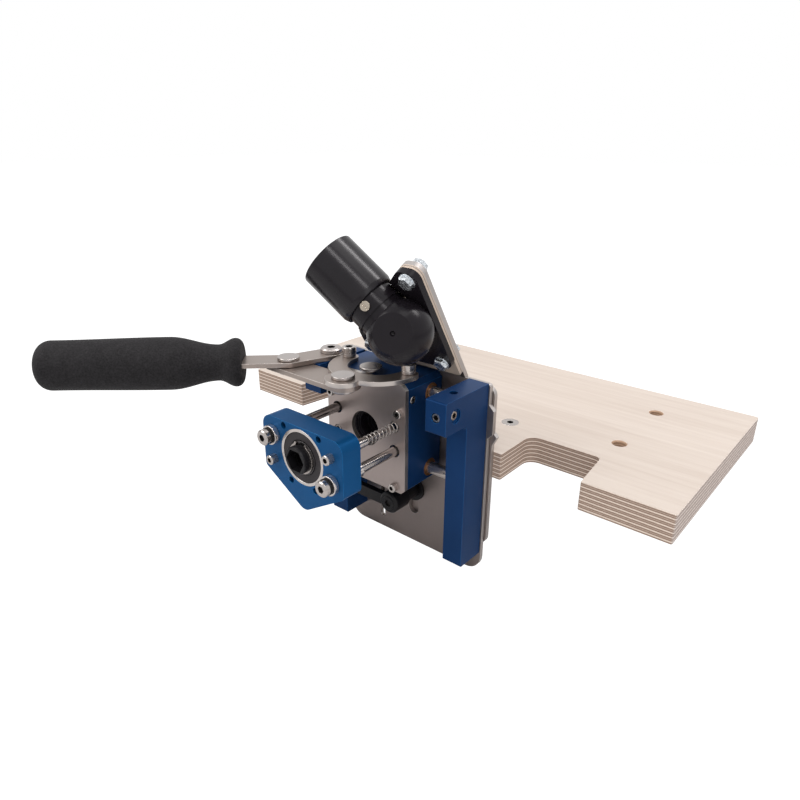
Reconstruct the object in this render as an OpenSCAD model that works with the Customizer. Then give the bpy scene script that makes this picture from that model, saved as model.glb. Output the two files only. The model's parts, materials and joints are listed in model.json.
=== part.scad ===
// Loose tenon jig: a mortising head that slides up and down on the front of a plywood work table.
// Millimetres. X runs to the right, Y back over the table, Z up. The origin lies midway across the
// table, where the rear plate's back face meets the plane of the table's underside.

/* [Table] */
// Thickness of the plywood
board_t = 18; // [15:1:24]
// Width of the table, side to side
board_w = 340; // [320:5:400]
// Depth of the table, front to back
board_d = 164; // [150:2:220]
// Width of the table between its two clamp notches
board_core_w = 129; // [122:1:134]
// Width of each front tab
board_tab_w = 53.7; // [40:0.1:60]
// Depth of the clamp notches
notch_d = 35.4; // [20:0.1:45]
// Radius of the notches' inner corners
notch_r = 8; // [4:1:12]
// How far the notch's outer side leans inwards
notch_lean = 3.8; // [0:0.1:8]
// Diameter of the dog holes
dog_d = 8; // [6:0.5:10]
// Spacing of the dog holes across the table
dog_span_x = 226; // [210:1:240]
// Spacing of the dog holes from front to back
dog_span_y = 63.5; // [50:0.5:80]
// Distance of the front dog holes from the front edge
dog_front = 61.7; // [55:0.1:70]
// Distance of the board screws from the middle
board_screw_x = 43.4; // [41:0.1:46]
// Distance of the board screws from the front edge
board_screw_y = 44.7; // [38:0.1:48]
// Head diameter of the board screws
board_screw_head_d = 12; // [10:0.5:12.5]
// Thread diameter of the board screws
board_screw_d = 6; // [5:0.5:6]

/* [Sheets] */
// Thickness of the two steel sheets
sheet_t = 3; // [2:0.5:4]
// Gap between the two sheets that slide on each other
slide_gap = 0.3; // [0.2:0.05:0.5]
// Width of the front sheet
front_w = 115; // [115:0.5:120]
// How far the front sheet reaches below the brackets
front_below = 14.7; // [10:0.1:20]
// Corner radius of the front sheet's lower corners
front_r = 11; // [6:1:14]
// How far the front sheet's ears stand out
ear_out = 3.5; // [1:0.1:4]
// Top of the ears below the bracket tops
ear_top = 17; // [14:0.5:20]
// Height of the ears
ear_h = 15; // [10:0.5:18]
// How far the rear plate stands out of the front sheet on each side
rear_out = 1.5; // [0.5:0.1:2.5]
// How far the rear plate reaches below the table
rear_below = 49; // [45:0.5:60]
// How far the index points stand out of the rear plate
index_out = 3; // [1:0.1:4]
// Width of the tongues under the table
tongue_w = 20; // [16:0.5:22]
// Length of the tongues under the table
tongue_l = 53; // [50:0.5:54]
// How far the tongues lie above the table's underside
tongue_lift = 0.2; // [0.1:0.05:0.5]

/* [Height slide] */
// Travel of the frame upwards
travel_up = 16; // [5:0.5:16]
// Travel of the frame downwards
travel_down = 5; // [0:0.5:5]
// Width of the clamp slot
clamp_slot_w = 8.5; // [8.3:0.1:9]
// Diameter of the clamp stud
clamp_stud_d = 8; // [6:0.1:8]
// Place of the clamp stud beside the middle
clamp_x = 1.5; // [0:0.1:2]
// Depth of the clamp stud below the table's underside
clamp_drop = 26; // [25.5:0.1:28]
// Diameter of the guide pin
guide_pin_d = 3.8; // [3:0.1:3.9]
// Width of the guide pin's slot
guide_slot_w = 4; // [4:0.1:4.5]
// Place of the guide pin beside the middle
guide_x = -27; // [-30:0.5:-24]
// Depth of the guide pin below the table's underside
guide_drop = 42.5; // [40:0.5:43]

/* [Clamp lever] */
// Diameter of the clamp lever's hub
clamp_hub_d = 15; // [12:0.5:15]
// Diameter of the clamp lever's neck
clamp_neck_d = 12; // [10:0.5:13]
// Reach of the hub before the front sheet
clamp_reach = 27; // [26:0.1:30]
// Length of the clamp lever's arm
clamp_arm_l = 45; // [38:0.5:50]
// Thickness of the arm
clamp_arm_t = 5.4; // [4:0.1:5.6]
// Width of the arm at its end
clamp_arm_w = 8; // [6:0.5:9]
// Diameter of the clamp washer
clamp_washer_d = 18; // [14:0.5:20]
// Thickness of the clamp washer
clamp_washer_t = 1.6; // [1:0.1:2]

/* [Brackets] */
// Height of the bracket tops above the table's underside
head_z = 64; // [63.5:0.1:66]
// Distance of the brackets from the front sheet's side edges
bracket_margin = 1; // [0.5:0.1:1]
// Thickness of each bracket
bracket_t = 14; // [12:0.5:14]
// Height of each bracket
bracket_h = 118; // [114:0.5:122]
// Depth of the bracket arm, front to back
arm_d = 42; // [42:0.1:43]
// Height of the bracket arm
arm_h = 20; // [20:0.1:22]
// Depth of the bracket column
column_d = 21; // [20:0.1:21]
// Radius where the arm meets the column
bracket_r = 3.5; // [2:0.1:5]
// Diameter of the stop and lock screws
grub_d = 6; // [5:0.1:6]
// Diameter of the recess round each stop screw
stop_recess_d = 9; // [8:0.1:9.5]
// Depth of that recess
stop_recess_l = 1.2; // [0.5:0.1:2]
// Place of the stop screws in front of the sheet
stop_y = 32.5; // [32:0.1:33]
// Depth of the stop screws below the bracket tops
stop_drop = 10; // [9:0.1:11]
// Diameter of the tapped hole in the arm tops
arm_hole_d = 5; // [4:0.1:6]
// Place of that hole in front of the sheet
arm_hole_y = 25; // [24:0.1:25.5]

/* [Cross slide] */
// Diameter of the cross rods
cross_d = 8; // [6:0.5:8]
// Distance of the cross rods in front of the sheet
cross_y = 11; // [10.5:0.1:12]
// Depth of the upper cross rod below the bracket tops
cross_top = 10.5; // [10:0.1:11]
// Depth of the lower cross rod below the bracket tops
cross_low = 62; // [60:0.5:62]
// Depth of the rod sockets in the brackets
cross_socket = 12; // [8:0.5:13]
// Outer diameter of the cross rod bushes
cross_bush_d = 12; // [10:0.5:12]
// Length of the cross rod bushes
cross_bush_l = 18; // [10:0.5:20]
// Sideways travel of the carriage
travel_x = 19; // [14:0.5:19]

/* [Carriage] */
// How far each stop screw stands out of its bracket
stop_out = 0.5; // [0.2:0.05:2]
// Height of the carriage
carriage_h = 72; // [72:0.5:73]
// Depth of the carriage block
block_d = 32; // [31:0.5:32.5]
// Gap between the carriage and the front sheet
carriage_gap = 1; // [0.5:0.1:1]
// Chamfer at the carriage's corners
carriage_chamfer = 3; // [1:0.1:4]
// Thickness of the carriage's steel plate
face_t = 3; // [2:0.1:4]
// Depth of the drive axis below the bracket tops
axis_drop = 36; // [35.5:0.1:36.5]
// Diameter of the opening in the steel plate
face_bore_d = 22.8; // [20:0.1:23]
// Outer diameter of the guide bush
guide_bush_d = 24; // [23.5:0.1:25]
// Bore of the guide bush
guide_bush_bore = 13; // [12:0.1:14]
// Diameter of the plate screws' heads
plate_screw_head_d = 5.5; // [5:0.1:5.7]
// Height of the plate screws' heads
plate_screw_head_h = 3; // [2:0.1:3.2]

/* [Plunge head] */
// Width of the shield plate
shield_w = 66; // [64:0.5:66]
// Thickness of the shield plate
shield_t = 14; // [13:0.1:15]
// Height of the shield plate above the drive axis
shield_up = 19; // [18:0.1:19]
// Where the lower slants start below the drive axis
shield_side = 15; // [13:0.1:18]
// Depth of the lower point below the drive axis
shield_down = 35; // [33:0.1:36]
// Radius of the upper corners
shield_r = 7; // [4:0.1:8]
// Gap between shield and carriage at rest
plunge_gap = 38.8; // [38.8:0.1:42]
// Travel of the plunge head
travel_plunge = 30; // [20:0.5:30]
// Sideways place of the plunge rods and springs from the axis
rod_x = 24; // [23.5:0.1:24.5]
// Height of the plunge rods and springs above and below the axis
rod_z = 8; // [7.5:0.1:8.5]
// Diameter of the plunge rods
rod_d = 6; // [5:0.1:6]
// Depth of the plunge rods in the carriage block
rod_socket = 18; // [12:0.5:20]
// Outer diameter of the slide bushes
slide_bush_d = 8.7; // [8:0.1:9]
// Diameter of the collars on the slide bushes
collar_d = 12; // [11:0.1:12]
// Length of the collars
collar_l = 3.5; // [3:0.1:4]
// Length of the slide bushes behind the shield
slide_bush_tail = 8; // [6:0.1:8]
// Diameter of the rod end screws' heads
rod_head_d = 9.5; // [9:0.1:10]
// Height of the rod end screws' heads
rod_head_h = 3; // [2.5:0.1:4]
// Thickness of the O-ring buffers
oring_t = 2; // [1.6:0.1:2.2]

/* [Drive bearing] */
// Outer diameter of the bearing
bearing_d = 35; // [34:0.5:35]
// Bore of the bearing
bearing_bore = 17; // [16:0.5:17]
// Width of the bearing
bearing_w = 10; // [9:0.1:10]
// Bore of the drive sleeve
sleeve_bore = 12; // [10:0.1:12]
// Hexagon across flats in the front of the sleeve
sleeve_hex = 12.5; // [12.1:0.1:12.7]
// How far the sleeve stands in front of the shield
sleeve_front = 5.2; // [3:0.1:7]
// How far the sleeve stands behind the shield
sleeve_back = 4; // [2:0.1:7]

/* [Return springs] */
// Outer diameter of the springs
spring_d = 6.2; // [5.6:0.1:6.2]
// Diameter of the spring wire
spring_wire = 0.75; // [0.6:0.05:0.9]
// Turns in each spring
spring_turns = 17; // [12:1:18]
// Diameter of the spring pockets
spring_pocket_d = 7; // [6.8:0.1:7.2]
// Depth of the spring pockets from the carriage's face
spring_pocket_l = 28; // [26:0.5:30]
// Diameter of the spring sleeves
spring_sleeve_d = 6; // [5.6:0.1:6.2]
// Length of the spring sleeves
spring_sleeve_l = 13; // [10:0.5:14]
// Diameter of the spring screws
spring_screw_d = 3; // [2.5:0.1:3.2]
// Length of the spring screws behind their heads
spring_screw_l = 47; // [40:0.5:48]

/* [Lever linkage] */
// Distance of the lever pivot behind the arm's inner face
pivot_inset = 6.5; // [6:0.1:7]
// Length of the lever from its pivot to the link rivet
lever_arm = 29.7; // [29.5:0.1:32]
// Width of the lever bar
lever_w = 17; // [14:0.5:17]
// Thickness of the lever bar, the link and the horseshoe
bar_t = 3; // [2.5:0.1:3.2]
// Flat gap between the bars that turn on each other
bar_gap = 0.2; // [0.1:0.05:0.3]
// Bend of the lever bar at the link rivet
lever_bend = 27.2; // [20:0.1:35]
// Distance from the link rivet to the grip
grip_start = 28; // [26:0.5:36]
// Width of the link
link_w = 20; // [16:0.5:20]
// Diameter of the flat rivet heads
flat_head_d = 14; // [12:0.5:14]
// Height of the flat rivet heads
flat_head_h = 2; // [1.5:0.1:2.5]
// Diameter of the rivets
rivet_d = 6; // [5:0.1:7]
// Inner radius of the horseshoe
shoe_in = 18.6; // [17:0.1:20]
// Outer radius of the horseshoe
shoe_out = 30.5; // [29:0.1:30.5]
// Place of the horseshoe's screws in front of the sheet
shoe_y = 23.6; // [23.5:0.1:24.5]
// Radius of the horseshoe's front lobe
lobe_r = 11; // [9:0.1:11]
// Diameter of the horseshoe screws' heads
shoe_head_d = 9.2; // [8:0.1:9.2]
// Height of the horseshoe screws' heads
shoe_head_h = 4; // [3:0.1:4]
// Height of the collars under those heads
shoe_collar_h = 2.6; // [1:0.1:2.6]

/* [Grip] */
// Length of the grip
grip_l = 124; // [110:1:140]
// Diameter of the grip's front bead
grip_bead_d = 30.5; // [26:0.5:30.5]
// Diameter of the grip's neck
grip_neck_d = 22.7; // [20:0.1:25]
// Diameter of the grip's belly
grip_belly_d = 33; // [30:0.5:33]
// Diameter of the grip's tail
grip_tail_d = 31; // [26:0.5:33]

/* [Hood] */
// Forward lean of the hood panel
hood_lean = 31.5; // [28:0.5:32]
// Foot of the hood panel in front of the sheet
hood_foot_y = 5.2; // [5:0.1:5.6]
// Foot of the hood panel above the bracket tops
hood_foot_z = 2.3; // [2.3:0.1:3]
// Thickness of the hood panel
panel_t = 3; // [2.5:0.1:3.2]
// Height of the hood panel along its slope
panel_h = 80.5; // [78:0.5:86]
// Right edge of the hood panel from the middle
panel_right = 39.7; // [38:0.1:41]
// Left edge of the hood panel from the middle
panel_left = 28; // [27.8:0.1:30]
// Thickness of the black flange
flange_t = 4; // [3:0.1:4.2]
// Across flats of the flange bolts
flange_bolt_af = 8; // [7:0.1:8]
// Height of the flange bolts' heads
flange_bolt_h = 2.6; // [2:0.1:2.8]

/* [Dust elbow] */
// Radius of the elbow's body
elbow_r = 18.5; // [17:0.1:19]
// Height of the elbow's centre above the hood panel
elbow_off = 17; // [16:0.1:18]
// Outer radius of the elbow's neck
neck_r = 14.2; // [13.5:0.1:14.3]
// Wall of the elbow
elbow_wall = 2.4; // [1.5:0.1:2.6]
// Outer radius of the hose cuff
cuff_r = 16.8; // [16.4:0.1:18]
// Start of the hose cuff from the elbow's centre
cuff_start = 23.5; // [22.5:0.1:26]
// Length of the hose cuff
cuff_l = 33.5; // [30:0.1:36]

/* [Hidden] */
$fn = 48;

// Overrun of every cut
over = 1;
// Radial clearance of a turning or sliding fit
fit = 0.05;
// Clearance where a screw or pin sits fast
seat = 0.02;
// Small flat gap between parts that only just clear each other
flat_gap = 0.3;
// Radius of eased outline corners
ease_r = 1;
// Overlap that joins the coaxial pieces of one solid
join = 0.5;
// How far each lock screw sits inside its bracket arm
lock_inset = 0.5;
// How far the shoe screws' collars stay inside the heads
collar_inset = 0.5;
// How far the bearing's seals lie inside its faces
seal_inset = 0.5;

// Stack of the two sheets: the front sheet's front face lies this far before the origin
stack = 2 * sheet_t + slide_gap;
rear_w = front_w + 2 * rear_out;
bracket_span = front_w - 2 * bracket_margin - 2 * bracket_t;
bracket_x = (bracket_span + bracket_t) / 2;
// The carriage fills what its travel and the two stop screws leave between the brackets
carriage_w = bracket_span - travel_x - 2 * stop_out;
carriage_x = -travel_x / 2;
carriage_front = carriage_gap + block_d + face_t;
shield_back = carriage_front + plunge_gap;
shield_front = shield_back + shield_t;
axis_z = head_z - axis_drop;

// Clearance round the cutter in the sheets' windows
cutter_clear = 8;
window_w = travel_x + 2 * cutter_clear;

// The lever swings equally to both sides of the pivot
swing = asin(travel_x / 2 / lever_arm);
pivot_x = -(bracket_span / 2 + pivot_inset);
link_x = pivot_x - lever_arm * sin(swing);
link_y = arm_hole_y + lever_arm * cos(swing);
link_sag = lever_arm * (1 - cos(swing)) / 2;
lobe_y = link_y + link_sag;
shoe_mid = (shoe_in + shoe_out) / 2;
lever_dir = 180 + 90 - swing - lever_bend;

// Corners and margins of the hood panel and its flange, and the places of the flange's bolts
panel_corner_r = 7;
panel_end_r = 6;
panel_margin_top = 4.5;
flange_margin_top = 5.2;
flange_margin_side = 6.5;
bolt_right_inset = 5.7;
bolt_left_inset = 7;
bolt_right = panel_right - bolt_right_inset;
bolt_left = -(panel_left - bolt_left_inset);
bolt_top = panel_h - panel_margin_top;
bolt_low = 2 * panel_corner_r;
duct_r = 10.5;
duct_socket_r = 12.3;
duct_socket_h = 6;

// Elbow: centre on the panel, direction of its outlet and of its flat cheek
elbow_u = 27.2;
elbow_v = 49.75;
outlet_turn = 140.7;
outlet_dip = 9.7;
cheek_turn = -131.6;
cheek_off = 14.9;
neck_l = 46;
neck_ring_at = 15.3;
neck_ring_l = 1.8;
neck_ring_h = 0.8;
neck_screw_d = 5.4;
neck_screw_at = cuff_start - neck_screw_d / 2 - flat_gap;
cuff_lip_l = 3;
hose_room = 3.4;

// Rounded outlines: each corner is [x, y, radius], and its arc takes round_steps sides
round_steps = 6;

function unit(v) = v / norm(v);

function corner_arc(a, b, c, r) =
    let(u = unit(a - b), w = unit(c - b), half = acos(u * w) / 2)
    let(m = b + unit(u + w) * r / sin(half), s = b + u * r / tan(half), e = b + w * r / tan(half))
    let(a0 = atan2(s.y - m.y, s.x - m.x), a1 = atan2(e.y - m.y, e.x - m.x))
    let(turn = a1 - a0, sweep = turn > 180 ? turn - 360 : turn < -180 ? turn + 360 : turn)
    [for (i = [0:round_steps]) let(a = a0 + sweep * i / round_steps) m + r * [cos(a), sin(a)]];

function xy(p) = [p[0], p[1]];

function rounded(path) =
    [for (i = [0:len(path) - 1])
        let(a = path[(i + len(path) - 1) % len(path)], b = path[i], c = path[(i + 1) % len(path)])
        each (b[2] == 0 ? [xy(b)] : corner_arc(xy(a), xy(b), xy(c), b[2]))];

// A path given for the right half, from bottom to top, with its mirror image
function mirrored(path) =
    concat(path, [for (i = [len(path) - 1:-1:0]) [-path[i][0], path[i][1], path[i][2]]]);

// Frame of the mechanism: the brackets' top at Z 0, the front sheet's front face at Y 0
module head() {
    translate([0, -stack, head_z]) children();
}

// Frame of the drive axis: children stand along +Y, with the axis on Y
module axis() {
    head() translate([carriage_x, 0, -axis_drop]) children();
}

// Frame of the hood panel: X to the right, Y up the slope, Z out of its front
module on_panel() {
    head() translate([0, -hood_foot_y, hood_foot_z]) rotate([90 + hood_lean, 0, 0]) children();
}

// Frame of the elbow's outlet: Z along the outlet
module on_outlet() {
    on_panel() translate([elbow_u, elbow_v, elbow_off])
        rotate([0, 90 + outlet_dip, outlet_turn]) children();
}

// Upright outline in X and Z, from y0 backwards by t
module upright(y0, t) {
    translate([0, y0 + t, 0]) rotate([90, 0, 0]) linear_extrude(t) children();
}

// Round bar along Y from y0 for l
module along_y(x, y0, z, l, d) {
    translate([x, y0, z]) rotate([-90, 0, 0]) cylinder(h = l, d = d);
}

// Round bar along X from x0 for l
module along_x(x0, y, z, l, d) {
    translate([x0, y, z]) rotate([0, 90, 0]) cylinder(h = l, d = d);
}

// Flat ring about Z
module ring(h, d_out, d_in) {
    difference() {
        cylinder(h = h, d = d_out);
        translate([0, 0, -over]) cylinder(h = h + 2 * over, d = d_in);
    }
}

// Hexagon prism about Z, given across flats
module hexagon(h, af) {
    cylinder(h = h, d = af / cos(30), $fn = 6);
}

// Screw about Z with its head upwards, seated at Z 0
module cap_screw(head_d, head_h, d, l) {
    difference() {
        union() {
            cylinder(h = head_h, d = head_d);
            translate([0, 0, -l]) cylinder(h = l + join, d = d);
        }
        translate([0, 0, head_h * 2 / 5]) hexagon(head_h, head_d * 0.48);
    }
}

// Countersunk screw about Z with the top of its head at Z 0
module sunk_screw(head_d, d, l) {
    difference() {
        union() {
            sunk_cone(head_d, d);
            translate([0, 0, -l]) cylinder(h = l - (head_d - d) / 4, d = d);
        }
        translate([0, 0, -head_d / 6]) hexagon(head_d, head_d / 3);
    }
}

// The cone of a countersunk head, top at Z 0
module sunk_cone(head_d, d) {
    translate([0, 0, -(head_d - d) / 2]) cylinder(h = (head_d - d) / 2, d1 = d, d2 = head_d);
}

// Set screw about Z from Z 0 downwards, with its socket on top
module grub_screw(d, l) {
    difference() {
        translate([0, 0, -l]) cylinder(h = l, d = d);
        translate([0, 0, -d / 2]) hexagon(d, d / 2);
    }
}

// Rounded bar outline between two points
module bar_outline(p, q, w) {
    run = q - p;
    translate(p) circle(d = w);
    translate(q) circle(d = w);
    translate(p) rotate(atan2(run.y, run.x)) translate([0, -w / 2]) square([norm(run), w]);
}

// Table

function board_path() = mirrored([
    [board_core_w / 2, notch_d, notch_r],
    [board_w / 2 - board_tab_w - notch_lean, notch_d, notch_r / 2],
    [board_w / 2 - board_tab_w, 0, ease_r],
    [board_w / 2, 0, ease_r],
    [board_w / 2, board_d, 2 * ease_r]]);

module board() {
    color("burlywood") difference() {
        linear_extrude(board_t) polygon(rounded(concat(
            [[-board_core_w / 2, 0, ease_r], [board_core_w / 2, 0, ease_r]],
            board_path())));
        for (x = [-1, 1], row = [0, 1])
            translate([x * dog_span_x / 2, dog_front + row * dog_span_y, 0]) {
                translate([0, 0, -over]) cylinder(h = board_t + 2 * over, d = dog_d);
                translate([0, 0, board_t]) sunk_cone(dog_d * 1.25, dog_d);
            }
        for (x = [-1, 1]) {
            translate([x * board_screw_x, board_screw_y, 0]) {
                translate([0, 0, -over]) cylinder(h = board_t, d = board_screw_d + 2 * fit);
                translate([0, 0, board_t + seat])
                    sunk_cone(board_screw_head_d + 2 * seat, board_screw_d + 2 * seat);
            }
            translate([x * board_screw_x - tongue_w / 2 - flat_gap, -over, -over])
                cube([tongue_w + 2 * flat_gap, tongue_l + flat_gap + over, tongue_lift + sheet_t + over]);
        }
    }
}

module board_screws() {
    color("gainsboro") for (x = [-1, 1])
        translate([x * board_screw_x, board_screw_y, board_t])
            sunk_screw(board_screw_head_d, board_screw_d, board_t - tongue_lift);
}

module rear_plate() {
    top = head_z - sheet_t;
    tip_z = axis_z + ease_r;
    color("silver") difference() {
        union() {
            upright(-sheet_t, sheet_t) polygon(rounded(mirrored([
                [rear_w / 2, -rear_below, 2 * index_out],
                [rear_w / 2, tip_z - 2 * index_out, 0],
                [rear_w / 2 + index_out / 3, tip_z - 4 / 3 * index_out, 0],
                [rear_w / 2 + index_out, tip_z, 0],
                [rear_w / 2, tip_z + index_out, 0],
                [rear_w / 2, top, 2 * index_out]])));
            for (x = [-1, 1])
                translate([x * board_screw_x - tongue_w / 2, -sheet_t, tongue_lift])
                    cube([tongue_w, sheet_t + tongue_l, sheet_t]);
        }
        upright(-sheet_t - over, sheet_t + 2 * over)
            translate([-window_w / 2, axis_z - travel_down - cutter_clear])
                square([window_w, travel_down + travel_up + 2 * cutter_clear]);
        for (x = [-1, 1]) {
            translate([x * board_screw_x - tongue_w / 2, -sheet_t - over, tongue_lift + sheet_t])
                cube([tongue_w, sheet_t + over, tongue_l]);
            translate([x * board_screw_x, board_screw_y, -over])
                cylinder(h = sheet_t + 2 * over, d = board_screw_d + 2 * seat);
        }
        along_y(clamp_x, -sheet_t - over, -clamp_drop, sheet_t + 2 * over, clamp_stud_d + 2 * seat);
        translate([clamp_x, seat, -clamp_drop]) rotate([-90, 0, 0])
            sunk_cone(clamp_stud_d + 4 * ease_r + 2 * seat, clamp_stud_d + 2 * seat);
        along_y(guide_x, -sheet_t - over, -guide_drop, sheet_t + 2 * over, guide_pin_d + 2 * seat);
    }
}

// The stud comes from behind, with its countersunk head flush in the rear plate
module clamp_stud() {
    color("silver") translate([clamp_x, 0, -clamp_drop]) rotate([-90, 0, 0])
        sunk_screw(clamp_stud_d + 4 * ease_r, clamp_stud_d, stack + clamp_reach * 4 / 9);
}

module clamp_washer() {
    color("silver") translate([clamp_x, -stack - flat_gap / 3, -clamp_drop]) rotate([90, 0, 0])
        ring(clamp_washer_t, clamp_washer_d, clamp_stud_d + 2 * fit);
}

module guide_pin() {
    color("silver") along_y(guide_x, -stack + slide_gap, -guide_drop, stack - slide_gap, guide_pin_d);
}

// Clamp lever

module clamp_lever() {
    back = clamp_washer_t + flat_gap;
    neck = clamp_reach / 2;
    bore = clamp_reach * 4 / 9 + 2 * fit;
    color("#1c1c1f") translate([clamp_x, -stack, -clamp_drop]) rotate([90, 0, 0]) difference() {
        union() {
            translate([0, 0, back]) cylinder(h = neck - back + join, d = clamp_neck_d);
            translate([0, 0, neck]) cylinder(h = clamp_reach - neck - ease_r, d = clamp_hub_d);
            translate([0, 0, clamp_reach - ease_r])
                cylinder(h = ease_r, d1 = clamp_hub_d, d2 = clamp_hub_d - 2 * ease_r);
            translate([0, 0, clamp_reach - clamp_arm_t]) linear_extrude(clamp_arm_t - ease_r)
                bar_outline([0, 0], [-clamp_arm_l + clamp_arm_w / 2, 0], clamp_arm_w);
        }
        translate([0, 0, back - over]) cylinder(h = bore - back + over, d = clamp_stud_d + 2 * fit);
        translate([0, 0, clamp_reach - 2 * ease_r])
            cylinder(h = over + 2 * ease_r, d = clamp_hub_d * 0.64 + 2 * seat);
        translate([0, 0, clamp_reach - clamp_hub_d * 0.64])
            cylinder(h = clamp_hub_d * 0.64, d = clamp_hub_d / 3 + 2 * seat);
    }
}

module clamp_screw() {
    color("#111113") translate([clamp_x, -stack - clamp_reach + 2 * ease_r, -clamp_drop]) rotate([90, 0, 0])
        cap_screw(clamp_hub_d * 0.64, 2.4 * ease_r, clamp_hub_d / 3, clamp_hub_d * 0.48);
}

// Front sheet: the upright part, the bend and the leaning part behind the hood panel

function panel_path(r_low) = [
    [panel_right, 0, r_low],
    [panel_right, panel_h, panel_end_r],
    [panel_right - 2 * panel_end_r, panel_h, panel_end_r],
    [-panel_left, bolt_low + panel_corner_r * 3 / 2, panel_corner_r],
    [-panel_left, 0, r_low]];

bend_v = (panel_t * cos(hood_lean) - hood_foot_y) / sin(hood_lean);
bend_z = hood_foot_z + panel_t * sin(hood_lean) + bend_v * cos(hood_lean);

// Point of the leaning sheet in Y and Z: v up the slope from the panel's foot, w behind the panel
function lean_point(v, w) =
    [-hood_foot_y - v * sin(hood_lean) + w * cos(hood_lean),
        hood_foot_z + v * cos(hood_lean) + w * sin(hood_lean)];

// Side view of the whole sheet in Y and Z
sheet_profile = [
    [0, -bracket_h - front_below],
    [0, bend_z],
    lean_point(panel_h, panel_t),
    lean_point(panel_h, panel_t + sheet_t),
    [sheet_t, bend_z + sheet_t * tan(hood_lean / 2)],
    [sheet_t, -bracket_h - front_below]];

// Front view of the upright part, open at the top
function upright_path() = mirrored([
    [front_w / 2, -bracket_h - front_below, front_r],
    [front_w / 2, -ear_top - ear_h - ear_out, 0],
    [front_w / 2 + ear_out, -ear_top - ear_h, ease_r],
    [front_w / 2 + ear_out, -ear_top, ease_r],
    [front_w / 2, -ear_top + ear_out, 0],
    [front_w / 2, bend_z, 2 * ease_r],
    [panel_right + over, bend_z, 0],
    [panel_right + over, sheet_t, 0]]);

module front_sheet() {
    slot_x = clamp_x;
    slot_z = -head_z - clamp_drop;
    pin_z = -head_z - guide_drop;
    half_w = front_w / 2 + ear_out;
    color("silver") difference() {
        head() translate([-half_w, 0, 0]) rotate([90, 0, 90])
            linear_extrude(2 * half_w) polygon(sheet_profile);
        head() upright(-over, sheet_t + 2 * over) difference() {
            translate([-half_w - over, -bracket_h - front_below - over])
                square([2 * (half_w + over), bracket_h + front_below + bend_z + 2 * over]);
            polygon(rounded(upright_path()));
        }
        on_panel() translate([0, 0, -panel_t - sheet_t - over])
            linear_extrude(sheet_t + 2 * over) difference() {
            translate([-half_w - over, panel_corner_r]) square([2 * (half_w + over), panel_h]);
            polygon(rounded(panel_path(0)));
        }
        head() for (x = [-half_w - over, panel_right])
            translate([x, -front_w, bend_z])
                cube([x < 0 ? half_w + over - panel_left : half_w, 2 * front_w, panel_h]);
        head() translate([0, -over, 0]) {
            upright(0, sheet_t + 2 * over)
                bar_outline([slot_x, slot_z - travel_up], [slot_x, slot_z + travel_down], clamp_slot_w);
            upright(0, sheet_t + 2 * over)
                bar_outline([guide_x, pin_z - travel_up], [guide_x, pin_z + travel_down], guide_slot_w);
            upright(0, sheet_t + 2 * over)
                bar_outline([carriage_x, -axis_drop], [-carriage_x, -axis_drop], 2 * cutter_clear);
        }
        head() for (x = [-1, 1], z = bracket_screw_z)
            translate([x * bracket_x, sheet_t + seat, z]) rotate([-90, 0, 0]) {
                sunk_cone(bracket_screw_head + 2 * seat, bracket_screw_d + 2 * seat);
                translate([0, 0, -sheet_t - over])
                    cylinder(h = sheet_t + over, d = bracket_screw_d + 2 * seat);
            }
        on_panel() panel_holes(-panel_t - sheet_t);
        outlet_relief();
    }
}

// Holes of the duct and of the flange bolts, from w upwards through everything
module panel_holes(w) {
    translate([elbow_u, elbow_v, w - over]) cylinder(h = -w + flange_t + 2 * over, r = duct_r);
    for (p = bolt_places)
        translate([p.x, p.y, w - over]) cylinder(h = -w + flange_t + 2 * over, d = flange_bolt_d + 2 * seat);
}

bolt_places = [[bolt_right, bolt_top], [bolt_right, bolt_low], [bolt_left, bolt_low]];
flange_bolt_d = flange_bolt_af * 5 / 8;

// Brackets

bracket_screw_d = 5;
bracket_screw_head = 10;
bracket_screw_z = [-bracket_h * 3 / 8, -bracket_h * 7 / 8];

// Bracket on the right side; the left one is its mirror image
module bracket() {
    fork = rounded([
        [0, 0, 0], [-arm_d, 0, ease_r], [-arm_d, -arm_h, ease_r], [-column_d, -arm_h, bracket_r],
        [-column_d, -bracket_h, ease_r], [0, -bracket_h, 0]]);
    inner = bracket_span / 2;
    difference() {
        translate([inner, 0, 0]) rotate([90, 0, 90]) linear_extrude(bracket_t) polygon(fork);
        for (z = [cross_top, cross_low])
            along_x(inner - over, -cross_y, -z, cross_socket + over, cross_d + 2 * seat);
        along_x(inner - over, -stop_y, -stop_drop, bracket_t + 2 * over, grub_d + 2 * seat);
        along_x(inner + bracket_t - stop_recess_l, -stop_y, -stop_drop, stop_recess_l + over, stop_recess_d);
        along_y(bracket_x, -arm_d - over, -stop_drop, arm_d - stop_y + over, grub_d + 2 * seat);
        translate([inner + pivot_inset, -arm_hole_y, -arm_h - over])
            cylinder(h = arm_h + 2 * over, d = arm_hole_d + 2 * seat);
        for (z = bracket_screw_z)
            along_y(bracket_x, -column_d * 2 / 3, z, column_d, bracket_screw_d + 2 * seat);
    }
}

module bracket_left() {
    color("#1d4f8f") head() mirror([1, 0, 0]) bracket();
}

module bracket_right() {
    color("#1d4f8f") head() bracket();
}

module bracket_screws() {
    color("gainsboro") head() for (x = [-1, 1], z = bracket_screw_z)
        translate([x * bracket_x, sheet_t, z]) rotate([-90, 0, 0])
            sunk_screw(bracket_screw_head, bracket_screw_d, sheet_t + column_d * 3 / 5);
}

module cross_rods() {
    l = bracket_span + 2 * (cross_socket - seat);
    color("lightgray") head() for (z = [cross_top, cross_low])
        along_x(-l / 2, -cross_y, -z, l, cross_d);
}

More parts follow.
